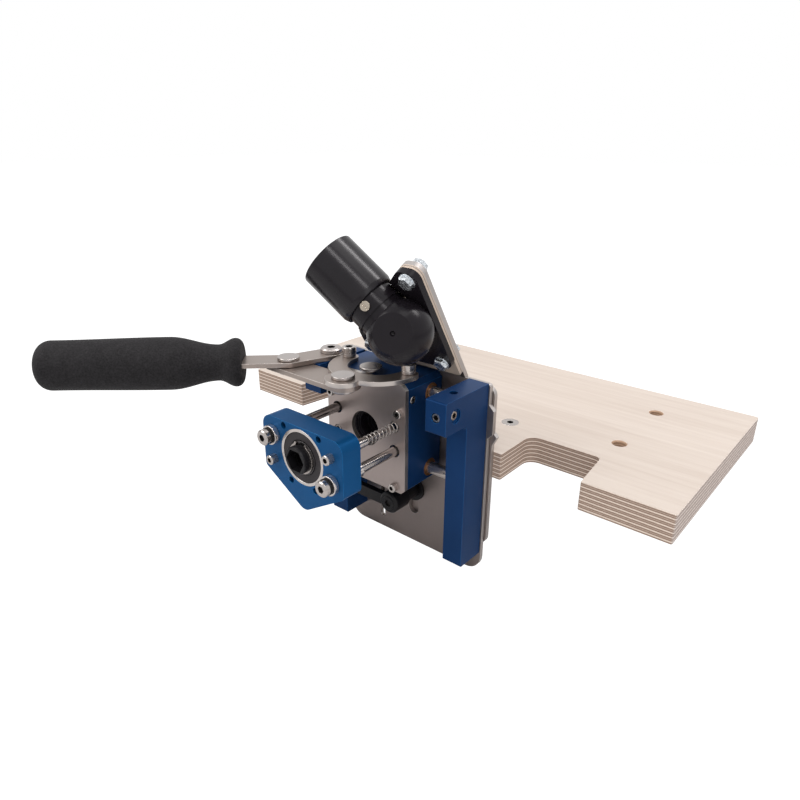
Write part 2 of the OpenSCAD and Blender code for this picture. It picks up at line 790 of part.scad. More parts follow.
module stop_screws() {
    l = bracket_t - stop_recess_l + stop_out - fit;
    color("gainsboro") head() for (x = [0, 1]) mirror([x, 0, 0])
        translate([bracket_span / 2 + bracket_t - stop_recess_l, -stop_y, -stop_drop]) rotate([0, 90, 0])
            grub_screw(grub_d, l);
}

// The lock screws bear on the stop screws from in front
module lock_screws() {
    l = arm_d - stop_y - grub_d / 2 - 2 * fit - lock_inset;
    color("gainsboro") head() for (x = [-1, 1])
        translate([x * bracket_x, -arm_d + lock_inset, -stop_drop]) rotate([90, 0, 0]) grub_screw(grub_d, l);
}

module lever_pivot_bolt() {
    seat_z = bar_t + 2 * bar_gap;
    color("gainsboro") head() translate([pivot_x, -arm_hole_y, 0]) difference() {
        union() {
            translate([0, 0, seat_z]) cylinder(h = flat_head_h * 1.5, d = flat_head_d);
            cylinder(h = seat_z + join, d = rivet_d + 2 * ease_r);
            translate([0, 0, -arm_h * 4 / 5]) cylinder(h = arm_h * 4 / 5 + join, d = arm_hole_d);
        }
        translate([0, 0, seat_z + flat_head_h * 0.5]) hexagon(flat_head_h * 1.5, flat_head_d * 0.36);
    }
}

// Hood

// Room round the elbow's neck, the turning cuff and a hose on it, which pass the hood's slanting edge
module outlet_relief() {
    on_outlet() {
        cylinder(h = neck_l, r = neck_r + neck_ring_h + flat_gap);
        translate([0, 0, cuff_start - 2 * flat_gap])
            cylinder(h = cuff_l + 4 * flat_gap, r = cuff_r + hose_room);
    }
}

module hood_panel() {
    color("tan") difference() {
        on_panel() difference() {
            translate([0, 0, -panel_t]) linear_extrude(panel_t) polygon(rounded(panel_path(ease_r)));
            panel_holes(-panel_t);
        }
        outlet_relief();
    }
}

module hood_flange() {
    low = bolt_low - flange_margin_top;
    right = bolt_right + flange_margin_side;
    left = bolt_left - flange_margin_side;
    color("#161618") difference() {
        on_panel() difference() {
            linear_extrude(flange_t) polygon(rounded([
                [right, low, panel_corner_r],
                [right, bolt_top + flange_margin_top, panel_end_r],
                [right - 2 * panel_end_r, bolt_top + flange_margin_top, panel_end_r],
                [left, bolt_low + panel_corner_r * 3 / 2, panel_corner_r],
                [left, low, panel_corner_r]]));
            panel_holes(0);
        }
        outlet_relief();
    }
}

module flange_washers() {
    color("gainsboro") on_panel() for (p = bolt_places) translate([p.x, p.y, flange_t])
        ring(washer_t, flange_bolt_af * 1.2, flange_bolt_d + 2 * seat);
}

washer_t = 0.8;

module flange_bolts() {
    l = flange_t + panel_t + sheet_t + washer_t + flange_bolt_h * 1.6;
    color("gainsboro") on_panel() for (p = bolt_places) translate([p.x, p.y, flange_t + washer_t]) {
        hexagon(flange_bolt_h, flange_bolt_af);
        translate([0, 0, -l]) cylinder(h = l + join, d = flange_bolt_d);
    }
}

module flange_nuts() {
    color("gainsboro") on_panel() for (p = bolt_places)
        translate([p.x, p.y, -panel_t - sheet_t - flange_bolt_h * 1.2]) difference() {
            hexagon(flange_bolt_h * 1.2, flange_bolt_af);
            translate([0, 0, -over])
                cylinder(h = flange_bolt_h * 1.2 + 2 * over, d = flange_bolt_d + 2 * seat);
        }
}

// Slab between the elbow's two flat cheeks, in the outlet's frame
module cheek_slab(half) {
    rotate([0, 0, cheek_turn]) translate([-half, -2 * elbow_r, -2 * elbow_r])
        cube([2 * half, 4 * elbow_r, 4 * elbow_r]);
}

module dust_elbow() {
    color("#161618") difference() {
        union() {
            difference() {
                on_outlet() intersection() {
                    sphere(r = elbow_r, $fn = 64);
                    cheek_slab(cheek_off);
                }
                on_panel() translate([elbow_u, elbow_v, flange_t - 2 * elbow_r])
                    cylinder(h = 2 * elbow_r, r = 2 * elbow_r);
            }
            on_outlet() cylinder(h = neck_l, r = neck_r);
            on_outlet() translate([0, 0, neck_ring_at]) cylinder(h = neck_ring_l, r = neck_r + neck_ring_h);
            on_panel() translate([elbow_u, elbow_v, flange_t])
                cylinder(h = duct_socket_h, r = duct_socket_r);
        }
        on_outlet() intersection() {
            sphere(r = elbow_r - elbow_wall, $fn = 64);
            cheek_slab(cheek_off - elbow_wall);
        }
        on_outlet() cylinder(h = neck_l + over, r = neck_r - elbow_wall);
        on_panel() translate([elbow_u, elbow_v, flange_t - over])
            cylinder(h = duct_socket_h + over, r = duct_r);
        on_outlet() rotate([0, 0, cheek_turn]) translate([cheek_off, 0, 0]) sphere(r = 1.5 * ease_r);
        on_outlet() rotate([0, 0, cheek_turn]) translate([neck_r - elbow_wall - over, 0, neck_screw_at])
            rotate([0, 90, 0]) cylinder(h = 2 * elbow_wall + over, d = neck_screw_d / 2 + 2 * seat);
    }
}

module neck_screw() {
    color("gainsboro") on_outlet() rotate([0, 0, cheek_turn]) translate([neck_r, 0, neck_screw_at])
        rotate([0, 90, 0]) difference() {
            union() {
                cylinder(h = neck_screw_d / 4, d = neck_screw_d);
                translate([0, 0, -elbow_wall]) cylinder(h = elbow_wall + join, d = neck_screw_d / 2);
            }
            translate([-neck_screw_d, -neck_screw_d / 12, neck_screw_d / 8])
                cube([2 * neck_screw_d, neck_screw_d / 6, neck_screw_d]);
        }
}

module hose_cuff() {
    bore = neck_l + flat_gap - cuff_start;
    color("#161618") on_outlet() translate([0, 0, cuff_start]) difference() {
        union() {
            cylinder(h = cuff_lip_l, r1 = cuff_r - ease_r, r2 = cuff_r);
            translate([0, 0, cuff_lip_l]) cylinder(h = cuff_l - cuff_lip_l, r = cuff_r);
        }
        translate([0, 0, -over]) cylinder(h = bore + over, r = neck_r + fit);
        translate([0, 0, bore - over]) cylinder(h = cuff_l, r = neck_r - elbow_wall);
        translate([0, 0, bore + ease_r]) cylinder(h = cuff_l, r = cuff_r - elbow_wall);
    }
}

// Carriage

// Outline of the carriage in X and Z from the drive axis
function carriage_path() =
    let(w = carriage_w / 2, c = carriage_chamfer, top = axis_drop, low = axis_drop - carriage_h)
    [[-w, low + c], [-w + c, low], [w - c, low], [w, low + c],
        [w, top - c], [w - c, top], [-w + c, top], [-w, top - c]];

plate_screw_shares = [[-28, 18], [28, 18], [-24, -33], [24, -33]] / 65;
plate_screw_places = plate_screw_shares * carriage_w;
rod_places = [[-rod_x, rod_z], [rod_x, -rod_z]];
spring_places = [[rod_x, rod_z], [-rod_x, -rod_z]];
plate_screw_d = plate_screw_head_d * 6 / 11;

module carriage_block() {
    color("#1d4f8f") axis() difference() {
        upright(-carriage_gap - block_d, block_d) polygon(carriage_path());
        along_y(0, -carriage_gap - block_d - over, 0, block_d + 2 * over, guide_bush_d + 2 * seat);
        for (z = [cross_top, cross_low])
            along_x(-carriage_w / 2 - over, -cross_y, axis_drop - z,
                carriage_w + 2 * over, cross_bush_d + 2 * seat);
        for (p = rod_places)
            along_y(p.x, -carriage_front - over, p.y, face_t + rod_socket + over, rod_d + 2 * seat);
        for (p = spring_places)
            along_y(p.x, -carriage_front - over, p.y, spring_pocket_l + over, spring_pocket_d);
        for (p = plate_screw_places)
            along_y(p.x, -carriage_front, p.y, face_t + plate_screw_l, plate_screw_d + 2 * seat);
        for (x = [-1, 1])
            translate([x * shoe_mid, -shoe_y, axis_drop - shoe_screw_l])
                cylinder(h = shoe_screw_l + over, d = shoe_screw_d + 2 * seat);
        translate([0, -centre_bolt_y, axis_drop - shoe_screw_l])
            cylinder(h = shoe_screw_l + over, d = shoe_screw_d + 2 * seat);
        along_x(carriage_w / 2 - side_screw_l, -side_screw_y, axis_drop - cross_top, side_screw_l + over,
            side_screw_d + 2 * seat);
    }
}

plate_screw_l = 4;
shoe_screw_l = 4;
shoe_screw_d = 4;
centre_bolt_y = 30;
side_screw_y = 28.7;
side_screw_d = 5;
side_screw_l = 5;

module carriage_plate() {
    color("#b9b2aa") axis() difference() {
        upright(-carriage_front, face_t) polygon(carriage_path());
        along_y(0, -carriage_front - over, 0, face_t + 2 * over, face_bore_d);
        for (p = rod_places)
            along_y(p.x, -carriage_front - over, p.y, face_t + 2 * over, rod_d + 2 * ease_r);
        for (p = spring_places)
            along_y(p.x, -carriage_front - over, p.y, face_t + 2 * over, spring_pocket_d);
        for (p = plate_screw_places)
            along_y(p.x, -carriage_front - over, p.y, face_t + 2 * over, plate_screw_d + 2 * seat);
    }
}

module plate_screws() {
    color("gainsboro") axis() for (p = plate_screw_places)
        translate([p.x, -carriage_front, p.y]) rotate([90, 0, 0])
            cap_screw(plate_screw_head_d, plate_screw_head_h, plate_screw_d, face_t + plate_screw_l - seat);
}

module cross_bushes() {
    color("#b5824a") axis() for (z = [cross_top, cross_low], side = [0, 1]) mirror([side, 0, 0])
        translate([carriage_w / 2 - cross_bush_l, -cross_y, axis_drop - z]) rotate([0, 90, 0])
            ring(cross_bush_l, cross_bush_d, cross_d + 2 * fit);
}

module guide_bush() {
    lip = (face_bore_d - guide_bush_bore) / 2;
    color("#1c1c1f") axis() translate([0, -carriage_gap, 0]) rotate([90, 0, 0]) difference() {
        cylinder(h = block_d - seat, d = guide_bush_d);
        translate([0, 0, -over]) cylinder(h = block_d + over, d = guide_bush_bore);
        translate([0, 0, block_d - 2 * lip]) cylinder(h = 2 * lip, d = face_bore_d - 4 * ease_r);
        translate([0, 0, block_d - lip / 2]) cylinder(h = lip, d = face_bore_d - ease_r);
    }
}

module side_screw() {
    color("gainsboro") axis() translate([carriage_w / 2, -side_screw_y, axis_drop - cross_top])
        rotate([0, 90, 0]) grub_screw(side_screw_d, side_screw_l - seat);
}

rod_tip = shield_front + collar_l + oring_t + fit;

module plunge_rods() {
    color("#8d8a86") axis() for (p = rod_places)
        along_y(p.x, -rod_tip, p.y, rod_tip - carriage_front + face_t + rod_socket - seat, rod_d);
}

module rod_end_screws() {
    color("gainsboro") axis() for (p = rod_places) translate([p.x, -rod_tip, p.y])
        rotate([90, 0, 0]) difference() {
        cylinder(h = rod_head_h, d = rod_head_d);
        translate([0, 0, rod_head_h * 2 / 5]) hexagon(rod_head_h, rod_head_d * 0.42);
    }
}

module o_rings() {
    color("#111113") axis() for (p = rod_places)
        translate([p.x, -rod_tip + oring_t / 2 + seat, p.y]) rotate([90, 0, 0])
            rotate_extrude() translate([rod_d / 2 + oring_t / 2 + seat, 0]) circle(d = oring_t);
}

module horseshoe_plate() {
    lobe_drop = lobe_y - shoe_y;
    color("#b9b2aa") axis() translate([0, -shoe_y, axis_drop]) difference() {
        linear_extrude(bar_t) union() {
            difference() {
                circle(r = shoe_out, $fn = 96);
                translate([-2 * shoe_out, 0]) square([4 * shoe_out, 2 * shoe_out]);
            }
            for (x = [-1, 1]) translate([x * shoe_mid, 0]) circle(d = shoe_out - shoe_in);
            translate([0, -lobe_drop]) circle(r = lobe_r);
        }
        translate([0, 0, -over]) linear_extrude(bar_t + 2 * over) difference() {
            circle(r = shoe_in, $fn = 96);
            for (x = [-1, 1]) translate([x * shoe_mid, 0]) circle(d = shoe_out - shoe_in);
        }
        for (x = [-1, 1]) translate([x * shoe_mid, 0, -over])
            cylinder(h = bar_t + 2 * over, d = shoe_screw_d + 2 * seat);
        translate([0, -lobe_drop, -over]) cylinder(h = bar_t + 2 * over, d = rivet_d + 2 * seat);
    }
}

module shoe_collars() {
    color("gainsboro") axis() for (x = [-1, 1]) translate([x * shoe_mid, -shoe_y, axis_drop + bar_t])
        ring(shoe_collar_h, shoe_head_d - collar_inset, shoe_screw_d + 2 * seat);
}

module shoe_screws() {
    color("gainsboro") axis() for (x = [-1, 1])
        translate([x * shoe_mid, -shoe_y, axis_drop + bar_t + shoe_collar_h])
            cap_screw(shoe_head_d, shoe_head_h, shoe_screw_d, bar_t + shoe_collar_h + shoe_screw_l - seat);
}

module centre_bolt() {
    color("gainsboro") axis() translate([0, -centre_bolt_y, axis_drop]) {
        translate([0, 0, flat_head_h]) cylinder(h = flat_head_h, d = flat_head_d);
        cylinder(h = flat_head_h + join, d = flat_head_d / 2);
        translate([0, 0, -shoe_screw_l + seat]) cylinder(h = shoe_screw_l + join, d = shoe_screw_d);
    }
}

// Rivet through the lobe and the link, with a head above and below
module lobe_rivet() {
    color("gainsboro") axis() translate([0, -lobe_y, axis_drop]) {
        translate([0, 0, bar_t]) cylinder(h = flat_head_h, d = flat_head_d);
        translate([0, 0, -bar_t - 2 * bar_gap]) cylinder(h = 2 * (bar_t + bar_gap) + join, d = rivet_d);
        translate([0, 0, -bar_t - 2 * bar_gap - flat_head_h]) cylinder(h = flat_head_h, d = flat_head_d);
    }
}

// Plunge head

function shield_path() = [
    [shield_w / 2, shield_up, shield_r], [-shield_w / 2, shield_up, shield_r],
    [-shield_w / 2, -shield_side, shield_r / 2], [0, -shield_down, shield_r],
    [shield_w / 2, -shield_side, shield_r / 2]];

tapped_places = [[-14.5, 16], [14.5, 16], [-10.3, -17.8], [10.3, -17.8]] / 66 * shield_w;
tapped_d = 4.2;
tapped_l = 9;

module shield_plate() {
    shoulder_d = bearing_d - 4 * ease_r;
    color("#1f5fa6") axis() difference() {
        upright(-shield_front, shield_t) polygon(rounded(shield_path()));
        along_y(0, -shield_front - over, 0, bearing_w + over, bearing_d + 2 * seat);
        along_y(0, -shield_front - over, 0, shield_t + 2 * over, shoulder_d);
        for (p = rod_places)
            along_y(p.x, -shield_front - over, p.y, shield_t + 2 * over, slide_bush_d + 2 * seat);
        for (p = spring_places)
            along_y(p.x, -shield_front - over, p.y, shield_t + 2 * over, spring_screw_d + 2 * seat);
        for (p = tapped_places)
            along_y(p.x, -shield_front - over, p.y, tapped_l + over, tapped_d);
    }
}

module slide_bushes() {
    color("gainsboro") axis() for (p = rod_places)
        translate([p.x, -shield_back + slide_bush_tail, p.y]) rotate([90, 0, 0]) difference() {
            union() {
                cylinder(h = slide_bush_tail + shield_t + join, d = slide_bush_d);
                translate([0, 0, slide_bush_tail + shield_t]) cylinder(h = collar_l, d = collar_d);
            }
            translate([0, 0, -over])
                cylinder(h = slide_bush_tail + shield_t + collar_l + 2 * over, d = rod_d + 2 * fit);
        }
}

ring_t = 2;
ball_d = 5.8;
ball_count = 9;
ball_pitch_r = (bearing_d + bearing_bore) / 4;
seal_t = 0.8;

// Races share one groove for the balls
module ball_groove() {
    rotate_extrude() translate([ball_pitch_r, 0]) circle(d = ball_d + 2 * fit);
}

module bearing_outer_ring() {
    color("silver") axis() translate([0, -shield_front + bearing_w / 2, 0]) rotate([90, 0, 0]) difference() {
        translate([0, 0, -bearing_w / 2]) ring(bearing_w, bearing_d, bearing_d - 2 * ring_t);
        ball_groove();
    }
}

module bearing_seals() {
    color("#1c1c1f") axis() translate([0, -shield_front, 0]) rotate([-90, 0, 0])
        for (z = [seal_inset, bearing_w - seal_inset - seal_t]) translate([0, 0, z])
            ring(seal_t, bearing_d - 2 * ring_t - 2 * seat, bearing_bore + 2 * ring_t + 2 * flat_gap);
}

module bearing_balls() {
    color("gainsboro") axis() translate([0, -shield_front + bearing_w / 2, 0]) rotate([90, 0, 0])
        for (i = [0:ball_count - 1]) rotate(i * 360 / ball_count) translate([ball_pitch_r, 0, 0])
            sphere(d = ball_d, $fn = 24);
}

module bearing_inner_ring() {
    color("silver") axis() translate([0, -shield_front + bearing_w / 2, 0]) rotate([90, 0, 0]) difference() {
        translate([0, 0, -bearing_w / 2]) ring(bearing_w, bearing_bore + 2 * ring_t, bearing_bore);
        ball_groove();
    }
}

circlip_t = 1;
circlip_w = 1.5;
circlip_depth = 0.5;

module drive_sleeve() {
    l = sleeve_front + shield_t + sleeve_back;
    d = bearing_bore - 2 * seat;
    shoulder = shield_t - bearing_w;
    color("#1c1c1f") axis() translate([0, -shield_back + sleeve_back, 0]) rotate([90, 0, 0]) difference() {
        union() {
            cylinder(h = l - ease_r, d = d);
            translate([0, 0, l - ease_r]) cylinder(h = ease_r, d1 = d, d2 = d - ease_r);
            cylinder(h = sleeve_back + shoulder - seat, d = bearing_bore + ring_t);
        }
        translate([0, 0, -over]) cylinder(h = l + 2 * over, d = sleeve_bore);
        translate([0, 0, l - sleeve_bore / 2]) hexagon(sleeve_bore, sleeve_hex);
        translate([0, 0, sleeve_back + shield_t + seat])
            ring(circlip_t + 2 * seat, bearing_bore + 2 * over, bearing_bore - 2 * circlip_depth);
    }
}

module circlip() {
    r_in = bearing_bore / 2 - circlip_depth + seat;
    r_out = r_in + circlip_w;
    gap_half = 25;
    lug_d = 2 * circlip_w;
    color("#b9b2aa") axis() translate([0, -shield_front - 2 * seat, 0]) rotate([90, 0, 0]) difference() {
        linear_extrude(circlip_t) union() {
            difference() {
                circle(r = r_out);
                circle(r = r_in);
                rotate(90) polygon([[0, 0], 2 * r_out * [cos(gap_half), sin(gap_half)],
                    2 * r_out * [cos(gap_half), -sin(gap_half)]]);
            }
            for (side = [-1, 1]) rotate(90 + side * gap_half)
                translate([r_out - seat, 0]) circle(d = lug_d / 2);
        }
        translate([0, 0, -over]) cylinder(h = circlip_t + 2 * over, r = r_in);
    }
}

module spring_sleeves() {
    color("gainsboro") axis() for (p = spring_places)
        translate([p.x, -shield_back, p.y]) rotate([-90, 0, 0])
            ring(spring_sleeve_l, spring_sleeve_d, spring_screw_d + 2 * seat);
}

module spring_screws() {
    head_h = spring_screw_d * 3 / 2;
    color("gainsboro") axis() for (p = spring_places) translate([p.x, -shield_front, p.y]) rotate([90, 0, 0])
        cap_screw(2 * spring_screw_d, head_h, spring_screw_d, spring_screw_l);
}

// Springs: one tube swept along a helix about Z, whose ends turn straight along Z to meet their seats

spring_steps = 8;
spring_sides = 6;
spring_l = spring_pocket_l + plunge_gap - spring_sleeve_l;
spring_mean_r = (spring_d - spring_wire) / 2;

function helix(i) =
    let(n = spring_turns * spring_steps, a = i * 360 / spring_steps, rise = spring_l - 2 * spring_wire)
    [spring_mean_r * cos(a), spring_mean_r * sin(a), spring_wire + rise * i / n];

spring_path = concat(
    [helix(0) - [0, 0, spring_wire - seat]],
    [for (i = [0:spring_turns * spring_steps]) helix(i)],
    [helix(spring_turns * spring_steps) + [0, 0, spring_wire - seat]]);

function tangent(path, i) =
    i == 0 || i == len(path) - 1 ? [0, 0, 1] : unit(path[i + 1] - path[i - 1]);

function ring_points(path, i) =
    let(t = tangent(path, i), out = unit([path[i].x, path[i].y, 0]),
        n = unit(out - (out * t) * t), b = cross(t, n))
    [for (k = [0:spring_sides - 1])
        path[i] + spring_wire / 2 * (cos(k * 360 / spring_sides) * n + sin(k * 360 / spring_sides) * b)];

// Least gap of the spring to itself, measured between points of different turns
spring_last = len(spring_path) - 1;
spring_self_gap = min([
    for (i = [0:spring_last], j = [i + spring_steps - 2:1:min(i + 2 * spring_steps, spring_last)])
    norm(spring_path[i] - spring_path[j])]) - spring_wire;
echo(spring_self_gap = spring_self_gap);

module tube(path, sides) {
    rings = len(path);
    points = [for (i = [0:rings - 1]) each ring_points(path, i)];
    walls = [for (i = [0:rings - 2], k = [0:sides - 1])
        let(a = i * sides + k, b = i * sides + (k + 1) % sides)
        each [[a, a + sides, b], [b, a + sides, b + sides]]];
    low = [for (k = [1:sides - 2]) [0, k, k + 1]];
    top = [for (k = [1:sides - 2])
        [(rings - 1) * sides, (rings - 1) * sides + k + 1, (rings - 1) * sides + k]];
    polyhedron(points = points, faces = concat(walls, low, top));
}

module return_spring(p) {
    color("gainsboro") axis() translate([p.x, -carriage_front + spring_pocket_l, p.y]) rotate([90, 0, 0])
        tube(spring_path, spring_sides);
}

module return_spring_right() {
    return_spring(spring_places[0]);
}

module return_spring_left() {
    return_spring(spring_places[1]);
}

// Lever and link

// Frame of the link rivet, on top of the link
module at_link() {
    head() translate([link_x, -link_y, 0]) children();
}

module lever_bar() {
    pivot = [pivot_x - link_x, link_y - arm_hole_y];
    way = [cos(lever_dir), sin(lever_dir)];
    color("#b9b2aa") at_link() translate([0, 0, bar_gap]) difference() {
        linear_extrude(bar_t) union() {
            bar_outline(pivot, [0, 0], lever_w);
            rotate(lever_dir) translate([0, -lever_w / 2]) square([grip_start - seat, lever_w]);
            rotate(lever_dir) translate([grip_start - join, -tang_w / 2]) square([tang_l, tang_w]);
        }
        translate([pivot.x, pivot.y, -over])
            cylinder(h = bar_t + 2 * over, d = rivet_d + 2 * ease_r + 2 * fit);
        translate([0, 0, -over]) cylinder(h = bar_t + 2 * over, d = rivet_d + 2 * seat);
    }
}

tang_w = 12;
tang_l = 40;

// Grip profile: stations along the grip as shares of its length, with their diameters
grip_station_shares = [0.035, 0.12, 0.36, 0.935];
grip_diameters = [grip_bead_d, grip_neck_d, grip_belly_d, grip_tail_d];
grip_steps = 6;
grip_end_steps = 8;
bead_steps = 5;

// Smooth run between two stations, level at both ends
function grip_run(i) = [for (k = [0:grip_steps - 1])
    let(t = k / grip_steps, s = (1 - cos(180 * t)) / 2)
    [grip_diameters[i] / 2 * (1 - s) + grip_diameters[i + 1] / 2 * s,
        grip_l * (grip_station_shares[i] * (1 - t) + grip_station_shares[i + 1] * t)]];

function grip_profile() =
    let(bead = grip_l * grip_station_shares[0], tail = grip_l * (1 - grip_station_shares[3]))
    concat(
        [[0, 0]],
        [for (k = [0:bead_steps - 1]) let(a = 90 * k / bead_steps)
            [grip_bead_d / 2 - bead * (1 - sin(a)), bead * (1 - cos(a))]],
        [for (i = [0:2]) each grip_run(i)],
        [for (k = [0:grip_end_steps]) let(a = 90 * k / grip_end_steps)
            [grip_tail_d / 2 - tail * (1 - cos(a)), grip_l - tail + tail * sin(a)]],
        [[0, grip_l]]);

module lever_grip() {
    color("#1c1c1f") at_link() translate([0, 0, bar_gap + bar_t / 2]) rotate(lever_dir)
        translate([grip_start, 0, 0]) difference() {
            rotate([0, 90, 0]) rotate_extrude() polygon(grip_profile());
            translate([-over, -tang_w / 2 - seat, -bar_t / 2 - seat])
                cube([tang_l + over, tang_w + 2 * seat, bar_t + 2 * seat]);
        }
}

// Rivet through lever and link, fast in the lever
module link_rivet() {
    color("gainsboro") at_link() {
        translate([0, 0, bar_gap + bar_t]) cylinder(h = flat_head_h, d = flat_head_d);
        translate([0, 0, -bar_t - 2 * bar_gap]) cylinder(h = 2 * bar_t + 3 * bar_gap + join, d = rivet_d);
        translate([0, 0, -bar_t - 2 * bar_gap - flat_head_h]) cylinder(h = flat_head_h, d = flat_head_d);
    }
}

// The link's far hole is wider, because the rivet in the lobe keeps its distance from the sheet
module link_bar() {
    l = carriage_x - link_x;
    color("#b9b2aa") at_link() translate([0, 0, -bar_t - bar_gap]) difference() {
        linear_extrude(bar_t) union() {
            translate([-link_w / 2, -link_w / 2]) square([l + link_w / 2, link_w]);
            translate([l, 0]) circle(d = link_w);
        }
        translate([0, 0, -over]) cylinder(h = bar_t + 2 * over, d = rivet_d + 2 * fit);
        translate([l, 0, -over]) cylinder(h = bar_t + 2 * over, d = rivet_d + 2 * link_sag + 4 * fit);
    }
}

board();
board_screws();
rear_plate();
clamp_stud();
clamp_washer();
guide_pin();
clamp_lever();
clamp_screw();
front_sheet();
bracket_left();
bracket_right();
bracket_screws();
cross_rods();
stop_screws();
lock_screws();
lever_pivot_bolt();
hood_panel();
hood_flange();
flange_washers();
flange_bolts();
flange_nuts();
dust_elbow();
neck_screw();
hose_cuff();
carriage_block();
carriage_plate();
plate_screws();
cross_bushes();
guide_bush();
side_screw();
plunge_rods();
rod_end_screws();
o_rings();
horseshoe_plate();
shoe_collars();
shoe_screws();
centre_bolt();
lobe_rivet();
shield_plate();
slide_bushes();
bearing_outer_ring();
bearing_seals();
bearing_balls();
spring_sleeves();
spring_screws();
return_spring_right();
return_spring_left();
bearing_inner_ring();
drive_sleeve();
circlip();
lever_bar();
lever_grip();
link_rivet();
link_bar();
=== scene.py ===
"""Looks of a loose tenon jig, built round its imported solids.

The solids keep their places. Where a machined edge, a screw head, a spring or the grip shows from near
by, a finer piece stands for the solid. Sizes are in millimetres in the classes, and in metres in Blender.
"""

from __future__ import annotations

import json
import logging
import math
from dataclasses import dataclass
from enum import Enum
from typing import Any, ClassVar, Iterable, Sequence

import bmesh
import bpy
import numpy as np
from mathutils import Matrix, Vector

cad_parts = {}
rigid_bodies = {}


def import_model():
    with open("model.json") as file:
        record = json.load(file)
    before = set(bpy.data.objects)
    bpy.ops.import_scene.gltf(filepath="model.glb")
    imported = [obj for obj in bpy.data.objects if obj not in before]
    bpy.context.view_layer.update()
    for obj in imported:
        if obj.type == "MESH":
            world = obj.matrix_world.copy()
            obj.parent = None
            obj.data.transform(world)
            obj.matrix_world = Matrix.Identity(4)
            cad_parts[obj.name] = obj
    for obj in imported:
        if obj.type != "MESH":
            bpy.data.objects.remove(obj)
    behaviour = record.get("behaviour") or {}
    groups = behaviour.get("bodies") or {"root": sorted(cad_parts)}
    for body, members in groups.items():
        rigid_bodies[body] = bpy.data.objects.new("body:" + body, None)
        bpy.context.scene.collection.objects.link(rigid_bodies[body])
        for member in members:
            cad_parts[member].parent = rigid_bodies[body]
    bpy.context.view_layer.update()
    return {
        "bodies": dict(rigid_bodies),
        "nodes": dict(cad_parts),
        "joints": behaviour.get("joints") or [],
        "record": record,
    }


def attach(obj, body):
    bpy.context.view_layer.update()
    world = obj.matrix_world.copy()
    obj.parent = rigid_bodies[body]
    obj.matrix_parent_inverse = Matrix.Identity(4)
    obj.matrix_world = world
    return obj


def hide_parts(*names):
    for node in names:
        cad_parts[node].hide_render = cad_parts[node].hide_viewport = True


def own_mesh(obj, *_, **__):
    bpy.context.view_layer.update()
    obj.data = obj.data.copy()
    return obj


LOG = logging.getLogger("loose_tenon_jig")
Colour = tuple[float, float, float]
Point = tuple[float, float, float]

MM = 0.001
MERGE = 2e-6  # metres: points nearer than this are one
DRIVE_AXIS: Point = (-9.5, -6.3, 28.0)  # where the drive axis meets the front sheet
RIGHT: Point = (1.0, 0.0, 0.0)
LEFT: Point = (-1.0, 0.0, 0.0)
AHEAD: Point = (0.0, -1.0, 0.0)
BACK: Point = (0.0, 1.0, 0.0)
UP: Point = (0.0, 0.0, 1.0)
BLACK: Colour = (0.0, 0.0, 0.0)
PALE: Colour = (1.0, 0.9, 0.8)
WHITE = (1.0, 1.0, 1.0, 1.0)


class Body(Enum):
    """The moving bodies of the jig."""

    BASE = "base"
    CLAMP_HANDLE = "clamp_handle"
    FRAME = "frame"
    CUFF = "cuff"
    CARRIAGE = "carriage"
    PLUNGE_HEAD = "plunge_head"
    SPINDLE = "spindle"
    LEVER = "lever"
    LINK = "link"


class Along(Enum):
    """Direction in which a grain or a brushed texture runs."""

    X = RIGHT
    Y = BACK
    Z = UP


def from_axis(x: float, y: float, z: float) -> Point:
    """Returns a place given from the drive axis."""
    return (DRIVE_AXIS[0] + x, DRIVE_AXIS[1] + y, DRIVE_AXIS[2] + z)


def toned(colour: Colour, factor: float, lift: float = 0.0) -> Colour:
    """Returns a colour times a factor and plus a lift, at most 1."""
    return tuple(min(1.0, c * factor + lift) for c in colour)


def placed(name: str, data: Any) -> bpy.types.Object:
    """Puts a new object in the scene.

    Args:
        name: its name.
        data: the mesh, lamp or camera that it holds.

    Returns:
        The object.
    """
    new = bpy.data.objects.new(name, data)
    bpy.context.collection.objects.link(new)
    return new


def evaluated(piece: bpy.types.Object) -> bpy.types.Mesh:
    """Returns the plain mesh that an object's modifiers make."""
    bpy.context.view_layer.update()
    return bpy.data.meshes.new_from_object(piece.evaluated_get(bpy.context.evaluated_depsgraph_get()))


# Shader trees


